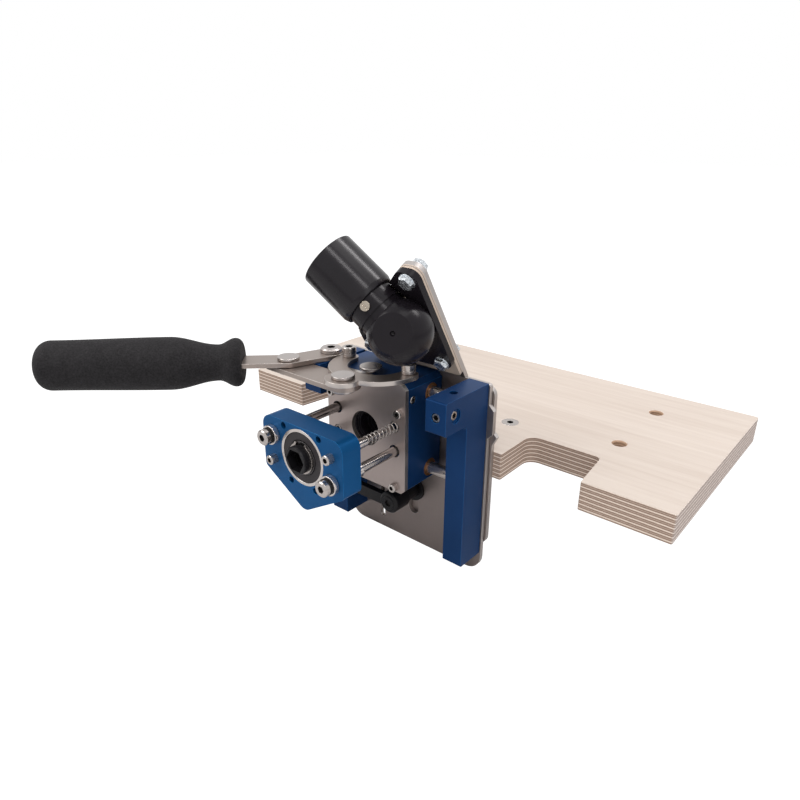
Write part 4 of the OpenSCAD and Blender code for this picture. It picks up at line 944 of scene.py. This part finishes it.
def grown(name: str, tree: bpy.types.GeometryNodeTree, studs: Studs, sizes: dict[str, float],
          finish: Finish) -> bpy.types.Object:
    """Runs a tree on a set of points and keeps the plain mesh.

    Args:
        name: the new piece's name.
        tree: the Geometry Nodes tree.
        studs: the points and the directions.
        sizes: the tree's inputs by name, lengths in millimetres, counts as whole numbers.
        finish: the piece's finish.

    Returns:
        The piece, with its place in its mesh.
    """
    seed = bpy.data.meshes.new(name + "_points")
    seed.from_pydata([Vector(p) * MM for p in studs.places], [], [])
    look = seed.attributes.new("look", "FLOAT_VECTOR", "POINT")
    look.data.foreach_set("vector", np.array(studs.looks, np.float32).ravel())
    carrier = placed(name + "_carrier", seed)
    modifier = carrier.modifiers.new("grow", "NODES")
    modifier.node_group = tree
    for item in tree.interface.items_tree:
        if item.in_out == "INPUT" and item.name in sizes:
            value = sizes[item.name]
            modifier[item.identifier] = value if isinstance(value, int) else value * MM
        elif item.in_out == "INPUT" and item.name == "Material":
            modifier[item.identifier] = finish.material()
    carrier.update_tag()
    mesh = evaluated(carrier)
    bpy.data.objects.remove(carrier)
    piece = placed(name, mesh)
    smoothed(piece, angle=32.0)
    return piece


def smoothed(piece: bpy.types.Object, angle: float) -> None:
    """Shades a piece smooth, apart from edges sharper than an angle in degrees."""
    piece.data.shade_smooth()
    piece.data.set_sharp_from_angle(angle=math.radians(angle))


def lathed(name: str, profile: Sequence[tuple[float, float]], sides: int, turn: Matrix) -> bpy.types.Object:
    """Turns a profile about the Z axis.

    Args:
        name: the new piece's name.
        profile: pairs of radius and height, in millimetres, from one end on the axis to the other.
        sides: number of steps round the axis.
        turn: the matrix that puts the turned shape in its place, in metres.

    Returns:
        The piece.
    """
    vertices: list[Point] = []
    rings: list[list[int]] = []
    for radius, height in profile:
        count = sides if radius > 0.0 else 1
        rings.append(list(range(len(vertices), len(vertices) + count)))
        for k in range(count):
            a = 2 * math.pi * k / count
            vertices.append((radius * MM * math.cos(a), radius * MM * math.sin(a), height * MM))
    faces: list[list[int]] = []
    for low, high in zip(rings, rings[1:]):
        for k in range(sides):
            n = (k + 1) % sides
            face = [low[k % len(low)], low[n % len(low)], high[n % len(high)], high[k % len(high)]]
            faces.append(list(dict.fromkeys(face)))
    mesh = bpy.data.meshes.new(name)
    mesh.from_pydata([turn @ Vector(v) for v in vertices], [], faces)
    mesh.validate()
    piece = placed(name, mesh)
    smoothed(piece, angle=50.0)
    return piece


BROAD = 0.56  # cosine, past which a face belongs to a flat piece's broad faces
IN_PLANE = 0.4  # degrees, within which faces are joined


@dataclass
class SubAssembly:
    """A group of pieces on one body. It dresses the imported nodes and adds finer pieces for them."""

    body: ClassVar[Body]
    frame: dict[str, Any]
    screws: bpy.types.GeometryNodeTree

    def build(self) -> None:
        """Makes the group's pieces. Each group has its own."""
        raise NotImplementedError

    def dress(self, node: str, finish: Finish) -> None:
        """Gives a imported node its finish.

        Args:
            node: the node's name.
            finish: the finish.
        """
        target = self.frame["nodes"][node]
        if not target.material_slots:
            target.data.materials.append(None)
        for slot in target.material_slots:
            slot.link = "OBJECT"
            slot.material = finish.material()
        LOG.info("dressed %s in %s", node, finish.name)

    def stands_for(self, piece: bpy.types.Object, finish: Finish, *nodes: str,
                   body: Body | None = None) -> bpy.types.Object:
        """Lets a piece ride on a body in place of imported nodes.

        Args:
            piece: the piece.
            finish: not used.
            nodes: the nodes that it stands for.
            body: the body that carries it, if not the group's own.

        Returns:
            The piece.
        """
        body = body or self.body
        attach(piece, body.value)
        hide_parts(*nodes)
        LOG.info("made %s on %s, %d faces", piece.name, body.value, len(piece.data.polygons))
        return piece

    def eased(self, node: str, finish: Finish, width: float, edge: Finish | None = None,
              angle: float = 30.0, steps: int = 2, flat: Along | None = None,
              body: Body | None = None) -> bpy.types.Object:
        """Makes a copy of a node with eased edges, so that they catch the light.

        Args:
            node: the node's name.
            finish: the finish of its faces.
            width: the easing's width in millimetres.
            edge: the finish of its eased edges, if it differs.
            angle: the least angle, in degrees, of an edge that is eased.
            steps: number of faces across an eased edge.
            flat: the direction that a flat piece's broad faces look in. Its other faces take the finish
                of the edges.
            body: the body that carries it, if not the group's own.

        Returns:
            The piece.
        """
        mesh = self.merged_mesh(node, node + "_eased")
        piece = placed(mesh.name, mesh)
        for one in (finish, edge or finish):
            mesh.materials.append(one.material())
        if flat:
            for face in mesh.polygons:
                face.material_index = int(abs(face.normal.dot(Vector(flat.value))) < BROAD)
        bevel = piece.modifiers.new("ease", "BEVEL")
        bevel.width = width * MM
        bevel.segments = steps
        bevel.limit_method = "ANGLE"
        bevel.angle_limit = math.radians(angle)
        # the eased faces take the edge finish; on the blue parts its lighter blue is a painted highlight
        bevel.material = 1
        bevel.use_clamp_overlap = True
        mesh.shade_smooth()
        level = piece.modifiers.new("level", "WEIGHTED_NORMAL")
        level.mode = "FACE_AREA"
        level.weight = 100
        done = evaluated(piece)
        piece.modifiers.clear()
        piece.data = done
        return self.stands_for(piece, finish, node, body=body)

    def merged_mesh(self, node: str, name: str) -> bpy.types.Mesh:
        """Copies a node's mesh, merges its loose triangles and joins those that lie in one plane.

        Args:
            node: the node's name.
            name: the new mesh's name.

        Returns:
            The new mesh.
        """
        work = bmesh.new()
        work.from_mesh(self.frame["nodes"][node].data)
        bmesh.ops.remove_doubles(work, verts=work.verts, dist=MERGE)
        bmesh.ops.dissolve_limit(work, angle_limit=math.radians(IN_PLANE), verts=work.verts, edges=work.edges)
        points = [tuple(v.co) for v in work.verts]
        work.verts.index_update()
        faces = [[v.index for v in face.verts] for face in work.faces]
        work.free()
        mesh = bpy.data.meshes.new(name)
        mesh.from_pydata(points, [], faces)
        mesh.validate()
        return mesh

    def socket_screws(self, name: str, node: str, size: Screw, studs: Studs,
                      finish: Finish = SCREW) -> bpy.types.Object:
        """Makes a set of socket screws in place of a node.

        Args:
            name: the new piece's name.
            node: the node that they stand for.
            size: the screws' sizes.
            studs: their places and directions.
            finish: their finish.

        Returns:
            The piece.
        """
        sizes = {
            "Head Radius": size.head / 2, "Foot Radius": (size.foot or size.head) / 2,
            "Head Height": size.height, "Chamfer": size.chamfer, "Socket Radius": size.socket / math.sqrt(3),
            "Shank Radius": size.shank / 2, "Shank Length": size.length, "Sides": size.sides}
        piece = grown(name, self.screws, studs, sizes, finish)
        return self.stands_for(piece, finish, node)


@dataclass
class WorkTable(SubAssembly):
    """The plywood table with the rear plate that is screwed to its front edge."""

    body = Body.BASE
    thickness: float = 18.0
    screw_x: float = 43.4
    screw_y: float = 44.7
    screw: Screw = Screw(12.0, 4.0, 4.0, 6.0, 12.0, foot=6.2, chamfer=0.2)
    edge_ease: float = 0.35
    hole_x: float = 113.0
    hole_y: tuple[float, float] = (61.7, 125.2)
    hole_reach: float = 6.0
    level: float = 0.80

    def build(self) -> None:
        """Makes the table's pieces."""
        self.board()
        self.eased("rear_plate", SHEET, width=0.3, edge=SHEET_EDGE, flat=Along.Y)
        for node in ("clamp_stud", "guide_pin"):
            self.dress(node, POLISHED)
        self.eased("clamp_washer", BLACK_STEEL, width=0.2)
        seat = self.thickness - self.screw.height
        self.socket_screws("table_screws", "board_screws", self.screw, Studs.alike(
            [(x, self.screw_y, seat) for x in (-self.screw_x, self.screw_x)], UP))

    def board(self) -> bpy.types.Object:
        """Makes the board, with veneer on its faces and cut plies on its edges.

        Returns:
            The piece.
        """
        piece = self.eased("board", BIRCH, width=self.edge_ease, angle=40.0)
        mesh = piece.data
        mesh.materials.clear()
        for finish in (BIRCH, PLY, HOLE):
            mesh.materials.append(finish.material())
        for face in mesh.polygons:
            if abs(face.normal.z) > self.level:
                face.material_index = 0
            else:
                face.material_index = 2 if self.in_hole(face.center) else 1
        return piece

    def in_hole(self, place: Vector) -> bool:
        """Returns whether a place in metres lies in one of the table's dog holes."""
        return any(math.hypot(place.x / MM - x, place.y / MM - y) < self.hole_reach
                   for x in (-self.hole_x, self.hole_x) for y in self.hole_y)


@dataclass
class ClampHandle(SubAssembly):
    """The black lever that clamps the height."""

    body = Body.CLAMP_HANDLE
    place: Point = (1.5, -31.3, -26.0)
    screw: Screw = Screw(9.6, 2.4, 4.6, 5.0, 7.2)

    def build(self) -> None:
        """Makes the clamp lever and its screw."""
        self.eased("clamp_lever", BLACK_STEEL, width=0.8, steps=3)
        self.socket_screws("clamp_lever_screw", "clamp_screw", self.screw,
                           Studs.alike([self.place], AHEAD), BLACK_STEEL)


@dataclass
class SlidingFrame(SubAssembly):
    """The bent front sheet with the two blue brackets and the cross rods."""

    body = Body.FRAME
    sheet_front: float = -6.3
    sheet: float = 3.0
    screw_x: float = 49.5
    stop_face: float = 55.3
    stop_y: float = -38.8
    arm_face: float = -47.8
    screw_z: float = 54.0
    fixing_z: tuple[float, float] = (19.75, -39.25)
    pivot: Point = (-49.0, -31.3, 67.4)
    stop: Screw = Screw(6.0, 4.0, 3.0, 5.6, 9.0, chamfer=0.5)
    lock: Screw = Screw(6.0, 3.4, 3.0, 5.6, 1.5, chamfer=0.5)
    fixing: Screw = Screw(10.0, 2.8, 3.3, 5.0, 12.0, foot=5.0, chamfer=0.2)
    pivot_bolt: Screw = Screw(14.0, 3.0, 5.0, 8.0, 14.0, chamfer=0.9)

    def build(self) -> None:
        """Makes the frame's pieces."""
        self.eased("front_sheet", SHEET, width=0.3, edge=SHEET_EDGE, flat=Along.Y)
        for node in ("bracket_left", "bracket_right"):
            self.eased(node, DEEP_BLUE, width=0.6, edge=DEEP_BLUE_PAINTED_HIGHLIGHT)
        self.dress("cross_rods", CROSS)
        self.screw_sets()

    def screw_sets(self) -> None:
        """Makes the frame's screws."""
        seat = self.stop_face - self.stop.height
        self.socket_screws("travel_stops", "stop_screws", self.stop, Studs(
            ((seat, self.stop_y, self.screw_z), (-seat, self.stop_y, self.screw_z)), (RIGHT, LEFT)))
        sides = (-self.screw_x, self.screw_x)
        self.socket_screws("stop_locks", "lock_screws", self.lock, Studs.alike(
            [(x, self.arm_face + self.lock.height, self.screw_z) for x in sides], AHEAD))
        behind = self.sheet_front + self.sheet - self.fixing.height
        self.socket_screws("bracket_fixings", "bracket_screws", self.fixing, Studs.alike(
            [(x, behind, z) for x in sides for z in self.fixing_z], BACK))
        self.socket_screws("lever_pivot", "lever_pivot_bolt", self.pivot_bolt,
                           Studs.alike([self.pivot], UP), DISC)


@dataclass
class Hood(SubAssembly):
    """The leaning hood: panel, black flange with its bolts, dust elbow and hose cuff."""

    body = Body.FRAME
    bolts: bpy.types.GeometryNodeTree
    lean: float = 31.5
    foot: Point = (0.0, -11.5, 66.3)
    bolt_places: tuple[tuple[float, float], ...] = ((34.0, 76.0), (34.0, 14.0), (-21.0, 14.0))
    panel: float = 3.0
    bolt_seat: float = 4.8
    bolt_across: float = 16.0
    bolt_height: float = 2.6
    bolt_chamfer: float = 0.7
    bolt_d: float = 5.0
    bolt_length: float = 14.96

    def turn(self) -> Matrix:
        """Returns the rotation from the panel's own frame to the part's."""
        return Matrix.Rotation(math.radians(90.0 + self.lean), 3, "X")

    def at(self, u: float, v: float, w: float) -> Point:
        """Returns a place given across, up and out of the panel."""
        return tuple(Vector(self.foot) + self.turn() @ Vector((u, v, w)))

    def build(self) -> None:
        """Makes the hood's pieces."""
        normal = self.turn() @ Vector(UP)
        front = normal.dot(Vector(self.foot))
        layers = Laminate("hood_board", "layered_board", tuple(normal), front, self.panel)
        self.eased("hood_panel", layers, width=0.25)
        self.eased("hood_flange", BLACK_PLASTIC, width=1.0, steps=3)
        self.eased("dust_elbow", BLACK_PLASTIC, width=0.9, steps=3)
        self.eased("hose_cuff", CUFF_PLASTIC, width=0.4, body=Body.CUFF)
        self.fixings(tuple(normal))

    def fixings(self, normal: Point) -> None:
        """Makes the flange's bolts, washers and nuts, and the neck's screw.

        Args:
            normal: the panel's outward direction.
        """
        self.eased("flange_washers", ZINC, width=0.12)
        self.eased("flange_nuts", ZINC, width=0.25)
        sizes = {
            "Head Radius": self.bolt_across / 2 / math.sqrt(3), "Head Height": self.bolt_height,
            "Chamfer": self.bolt_chamfer, "Shank Radius": self.bolt_d / 2, "Shank Length": self.bolt_length}
        heads = grown("flange_bolt_set", self.bolts, Studs.alike(
            [self.at(u, v, self.bolt_seat) for u, v in self.bolt_places], normal), sizes, ZINC)
        self.stands_for(heads, ZINC, "flange_bolts")
        self.eased("neck_screw", BRASSY, width=0.25)


@dataclass
class Carriage(SubAssembly):
    """The blue block with its steel plate, bushes, plunge rods and horseshoe."""

    body = Body.CARRIAGE
    front: float = 36.0
    plate_screw: Screw = Screw(5.5, 3.0, 2.64, 3.0, 7.0)
    plate_places: tuple[tuple[float, float], ...] = (
        (-28.0, 18.0), (28.0, 18.0), (-24.0, -33.0), (24.0, -33.0))
    rod_tip: float = 94.35
    rod_screw: Screw = Screw(9.5, 3.0, 4.0, 5.0, 4.0, chamfer=0.6)
    rods: tuple[tuple[float, float], ...] = ((-24.0, 8.0), (24.0, -8.0))
    shoe_screw: Screw = Screw(9.2, 4.0, 4.4, 4.0, 9.5, chamfer=0.5)
    shoe_x: float = 24.55
    shoe_y: float = 23.6
    shoe_z: float = 41.6
    plug: Screw = Screw(5.0, 3.0, 2.0, 4.6, 2.0, chamfer=0.5)
    plug_face: float = 32.5
    plug_y: float = -28.7
    plug_z: float = 25.5

    def build(self) -> None:
        """Makes the carriage's pieces."""
        self.eased("carriage_block", DEEP_BLUE, width=0.45, edge=DEEP_BLUE_PAINTED_HIGHLIGHT)
        self.eased("carriage_plate", PLATE, width=0.25, edge=BAR_EDGE, flat=Along.Y)
        self.eased("horseshoe_plate", BAR, width=0.3, edge=BAR_EDGE, flat=Along.Z)
        self.eased("guide_bush", BLACK_PLASTIC, width=0.4)
        self.eased("cross_bushes", BRONZE, width=0.25)
        self.dress("plunge_rods", RODS)
        self.dress("o_rings", RUBBER)
        for node in ("shoe_collars", "centre_bolt", "lobe_rivet"):
            self.eased(node, DISC, width=0.45, edge=SCREW, steps=3)
        self.screw_sets()

    def screw_sets(self) -> None:
        """Makes the carriage's screws."""
        self.socket_screws("plate_fixings", "plate_screws", self.plate_screw, Studs.alike(
            [from_axis(x, -self.front, z) for x, z in self.plate_places], AHEAD))
        self.socket_screws("rod_ends", "rod_end_screws", self.rod_screw, Studs.alike(
            [from_axis(x, -self.rod_tip, z) for x, z in self.rods], AHEAD))
        self.socket_screws("horseshoe_screws", "shoe_screws", self.shoe_screw, Studs.alike(
            [from_axis(x, -self.shoe_y, self.shoe_z) for x in (-self.shoe_x, self.shoe_x)], UP))
        plug_seat = from_axis(self.plug_face - self.plug.height, self.plug_y, self.plug_z)
        self.socket_screws("side_plug", "side_screw", self.plug, Studs.alike([plug_seat], RIGHT))


@dataclass
class PlungeHead(SubAssembly):
    """The shield plate with its bearing, slide bushes and return springs."""

    body = Body.PLUNGE_HEAD
    coils: bpy.types.GeometryNodeTree
    front: float = 88.8
    springs: tuple[tuple[float, float], ...] = ((24.0, 8.0), (-24.0, -8.0))
    spring_screw: Screw = Screw(6.0, 4.5, 2.9, 3.0, 47.0, chamfer=0.4)
    spring_start: float = -61.8
    spring_end: float = -8.0
    spring_d: float = 6.2
    wire_d: float = 0.75
    turns: int = 17
    travel: float = 30.0

    def build(self) -> None:
        """Makes the plunge head's pieces."""
        self.eased("shield_plate", BLUE, width=0.8, edge=BLUE_PAINTED_HIGHLIGHT, steps=3)
        self.eased("slide_bushes", POLISHED, width=0.4)
        self.eased("bearing_outer_ring", POLISHED, width=0.3)
        self.eased("bearing_seals", SEAL, width=0.15)
        self.dress("bearing_balls", POLISHED)
        self.eased("spring_sleeves", POLISHED, width=0.3)
        self.socket_screws("spring_fixings", "spring_screws", self.spring_screw, Studs.alike(
            [from_axis(x, -self.front, z) for x, z in self.springs], AHEAD))
        for side, place in zip(("right", "left"), self.springs):
            self.spring("spring_" + side, "return_spring_" + side, place)

    def spring(self, name: str, node: str, place: tuple[float, float]) -> bpy.types.Object:
        """Winds one return spring.

        Args:
            name: the new piece's name.
            node: the node that it stands for.
            place: its place across and above the drive axis.

        Returns:
            The piece.
        """
        across, above = place
        seat = from_axis(across, self.spring_start, above)
        length = self.spring_end - self.spring_start
        sizes = {"Coil Radius": (self.spring_d - self.wire_d) / 2, "Wire Radius": self.wire_d / 2,
                 "Length": length, "Turns": self.turns}
        piece = grown(name, self.coils, Studs.alike([seat], BACK), sizes, WIRE)
        self.stands_for(piece, WIRE, node)
        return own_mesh(piece, "plunge_slide", axis=(0, 1, 0), anchor=tuple(Vector(seat) * MM),
                         keep=(length - self.travel) / length)


@dataclass
class DriveSpindle(SubAssembly):
    """The black drive sleeve in the bearing, held by a circlip."""

    body = Body.SPINDLE

    def build(self) -> None:
        """Makes the spindle's pieces."""
        self.eased("bearing_inner_ring", SMOKED, width=0.3)
        self.eased("drive_sleeve", BLACK_STEEL, width=0.3)
        self.eased("circlip", WIRE, width=0.15)


@dataclass
class LeverLinkage(SubAssembly):
    """The hand lever with its foam grip, and the link to the carriage."""

    body = Body.LEVER
    rivet: Point = (-58.5026, -59.4380, 64.0)
    way: float = 224.1447
    grip_start: float = 28.0
    grip_rise: float = 1.7
    length: float = 124.0
    stations: tuple[float, ...] = (0.035, 0.12, 0.36, 0.935)
    diameters: tuple[float, ...] = (30.5, 22.7, 33.0, 31.0)
    end_steps: tuple[int, int] = (10, 14)
    span_steps: int = 20
    sides: int = 96

    def build(self) -> None:
        """Makes the lever's and the link's pieces."""
        self.eased("lever_bar", BAR, width=0.3, edge=BAR_EDGE)
        self.eased("link_rivet", DISC, width=0.6, edge=SCREW, steps=3)
        self.eased("link_bar", BAR, width=0.3, edge=BAR_EDGE, body=Body.LINK)
        self.grip()

    def profile(self) -> list[tuple[float, float]]:
        """Returns the grip's outline: a bead, a waist, a long belly and a rounded tail.

        Returns:
            Pairs of radius and height, in millimetres.
        """
        bead = self.length * self.stations[0]
        tail = self.length * (1 - self.stations[-1])
        first, last = self.end_steps
        rows: list[tuple[float, float]] = [(0.0, 0.0)]
        for k in range(first):
            a = math.pi / 2 * k / first
            rows.append((self.diameters[0] / 2 - bead * (1 - math.sin(a)), bead * (1 - math.cos(a))))
        spans = list(zip(self.stations, self.diameters))
        for (low, low_d), (high, high_d) in zip(spans, spans[1:]):
            for k in range(self.span_steps):
                t = k / self.span_steps
                s = (1 - math.cos(math.pi * t)) / 2
                rows.append((low_d / 2 * (1 - s) + high_d / 2 * s, self.length * (low * (1 - t) + high * t)))
        for k in range(last + 1):
            a = math.pi / 2 * k / last
            rows.append((self.diameters[-1] / 2 - tail * (1 - math.cos(a)),
                         self.length - tail + tail * math.sin(a)))
        rows.append((0.0, self.length))
        return rows

    def grip(self) -> bpy.types.Object:
        """Turns the grip and puts it on the lever's tang.

        Returns:
            The piece.
        """
        along = Matrix.Rotation(math.radians(self.way), 4, "Z") @ Matrix.Rotation(math.radians(90.0), 4, "Y")
        start = Vector(self.rivet) + along.to_3x3() @ Vector((0.0, 0.0, self.grip_start))
        start.z += self.grip_rise
        piece = lathed("foam_grip", self.profile(), self.sides, Matrix.Translation(start * MM) @ along)
        piece.data.materials.append(FOAM.material())
        return self.stands_for(piece, FOAM, "lever_grip")


CUFF_AXIS: Point = (-0.763, -0.183, 0.620)


@dataclass(frozen=True)
class Lamp:
    """A soft box. Its place and size are in metres, its power in watts."""

    name: str
    place: Point
    size: tuple[float, float]
    power: float
    colour: Colour
    along: Point | None = None  # what its height follows, if not upwards


@dataclass
class Studio:
    """Camera, lamps, floor and surroundings."""

    camera_at: Point = (245.6, -311.7, 200.5)
    azimuth: float = 40.08
    elevation: float = 22.48
    roll: float = 0.26
    lens: float = 29.35
    sensor: float = 36.0
    view_range: tuple[float, float] = (0.01, 20.0)
    aim: Point = (0.0, 0.02, 0.04)
    lamps: tuple[Lamp, ...] = (
        Lamp("key", (-0.75, -0.85, 1.00), (0.9, 0.7), 9.0, (1.0, 0.985, 0.96)),
        Lamp("top", (0.25, 0.10, 1.30), (0.8, 0.5), 2.0, (1.0, 0.99, 0.98)),
        Lamp("fill", (1.20, -0.55, 0.45), (0.5, 0.9), 1.8, (0.97, 0.98, 1.0)),
        Lamp("strip_front", (0.421, -0.488, 0.920), (0.10, 0.60), 2.5, (1.0, 0.97, 0.98), CUFF_AXIS),
        Lamp("strip_back", (0.222, 0.449, 0.952), (0.17, 0.65), 4.6, (1.0, 0.97, 0.98), CUFF_AXIS))
    floor_z: float = -69.5
    floor_half: float = 6.0
    floor_grey: float = 0.82
    glow: float = 1.25
    glow_share: float = 0.84
    ambient: float = 0.50

    def build(self) -> None:
        """Sets the whole studio. The two strips lie along the cuff and draw its highlights."""
        self.camera()
        for lamp in self.lamps:
            self.hang(lamp)
        self.floor()
        self.world()
        bpy.context.scene.view_settings.view_transform = "Standard"

    def camera(self) -> None:
        """Puts the camera where the photograph was taken from."""
        az, el = math.radians(self.azimuth), math.radians(self.elevation)
        view = Vector((-math.sin(az) * math.cos(el), math.cos(az) * math.cos(el), -math.sin(el)))
        right = Vector((math.cos(az), math.sin(az), 0.0))
        up = right.cross(view)
        c, s = math.cos(math.radians(self.roll)), math.sin(math.radians(self.roll))
        right, up = c * right + s * up, c * up - s * right
        data = bpy.data.cameras.new("camera")
        data.lens = self.lens
        data.sensor_width = self.sensor
        data.sensor_fit = "HORIZONTAL"
        data.clip_start, data.clip_end = self.view_range
        camera = placed("camera", data)
        turn = Matrix((right, up, -view)).transposed().to_4x4()
        camera.matrix_world = Matrix.Translation(Vector(self.camera_at) * MM) @ turn
        bpy.context.scene.camera = camera

    def hang(self, lamp: Lamp) -> None:
        """Adds a soft box that looks at the jig.

        Args:
            lamp: the soft box.
        """
        data = bpy.data.lights.new(lamp.name, "AREA")
        data.shape = "RECTANGLE"
        data.size, data.size_y = lamp.size
        data.energy = lamp.power
        data.color = lamp.colour
        aim = Vector(self.aim) - Vector(lamp.place)
        turn = aim.to_track_quat("-Z", "Y").to_matrix()
        if lamp.along:
            back = -aim.normalized()
            across = Vector(lamp.along).cross(back).normalized()
            turn = Matrix((across, back.cross(across), back)).transposed()
        placed(lamp.name, data).matrix_world = Matrix.Translation(Vector(lamp.place)) @ turn.to_4x4()

    def floor(self) -> None:
        """Lays a pale floor just under the jig. To the camera it is nearly white, with a faint shadow."""
        mesh = bpy.data.meshes.new("floor")
        half, z = self.floor_half, self.floor_z * MM
        mesh.from_pydata([(-half, -half, z), (half, -half, z), (half, half, z), (-half, half, z)], [],
                         [(0, 1, 2, 3)])
        floor = placed("floor", mesh)
        g = Graph("pale_floor")
        matt = g.node("ShaderNodeBsdfDiffuse", inputs={"Color": (*(self.floor_grey,) * 3, 1.0)})
        glow = g.node("ShaderNodeEmission", inputs={"Color": WHITE, "Strength": self.glow})
        seen = g.node("ShaderNodeLightPath", output="Is Camera Ray")
        both = g.node("ShaderNodeMixShader", inputs={0: seen * self.glow_share, 1: matt, 2: glow})
        mesh.materials.append(g.close(both))

    def world(self) -> None:
        """Surrounds the jig with soft light, which the camera and reflections see as white."""
        world = bpy.data.worlds.new("white_room")
        world.use_nodes = True
        tree = world.node_tree
        tree.nodes.clear()
        path = tree.nodes.new("ShaderNodeLightPath")
        seen: bpy.types.NodeSocket = path.outputs["Is Camera Ray"]
        for label in ("Is Glossy Ray", "Is Transmission Ray"):
            either = tree.nodes.new("ShaderNodeMath")
            either.operation = "MAXIMUM"
            tree.links.new(seen, either.inputs[0])
            tree.links.new(path.outputs[label], either.inputs[1])
            seen = either.outputs[0]
        soft, white = (tree.nodes.new("ShaderNodeBackground") for _ in range(2))
        soft.inputs["Strength"].default_value = self.ambient
        white.inputs["Strength"].default_value = 1.0
        for node in (soft, white):
            node.inputs["Color"].default_value = WHITE
        mix = tree.nodes.new("ShaderNodeMixShader")
        tree.links.new(seen, mix.inputs[0])
        tree.links.new(soft.outputs[0], mix.inputs[1])
        tree.links.new(white.outputs[0], mix.inputs[2])
        out = tree.nodes.new("ShaderNodeOutputWorld")
        tree.links.new(mix.outputs[0], out.inputs["Surface"])
        bpy.context.scene.world = world


def main() -> None:
    """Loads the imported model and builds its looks."""
    logging.basicConfig(level=logging.INFO, format="%(name)s: %(message)s")
    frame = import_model()
    screws, bolts, coils = screw_tree(), bolt_tree(), coil_tree()
    Studio().build()
    groups: list[SubAssembly] = [
        WorkTable(frame, screws), ClampHandle(frame, screws), SlidingFrame(frame, screws),
        Hood(frame, screws, bolts), Carriage(frame, screws), PlungeHead(frame, screws, coils),
        DriveSpindle(frame, screws), LeverLinkage(frame, screws)]
    for group in groups:
        LOG.info("building %s", type(group).__name__)
        group.build()


if __name__ == "__main__":
    main()
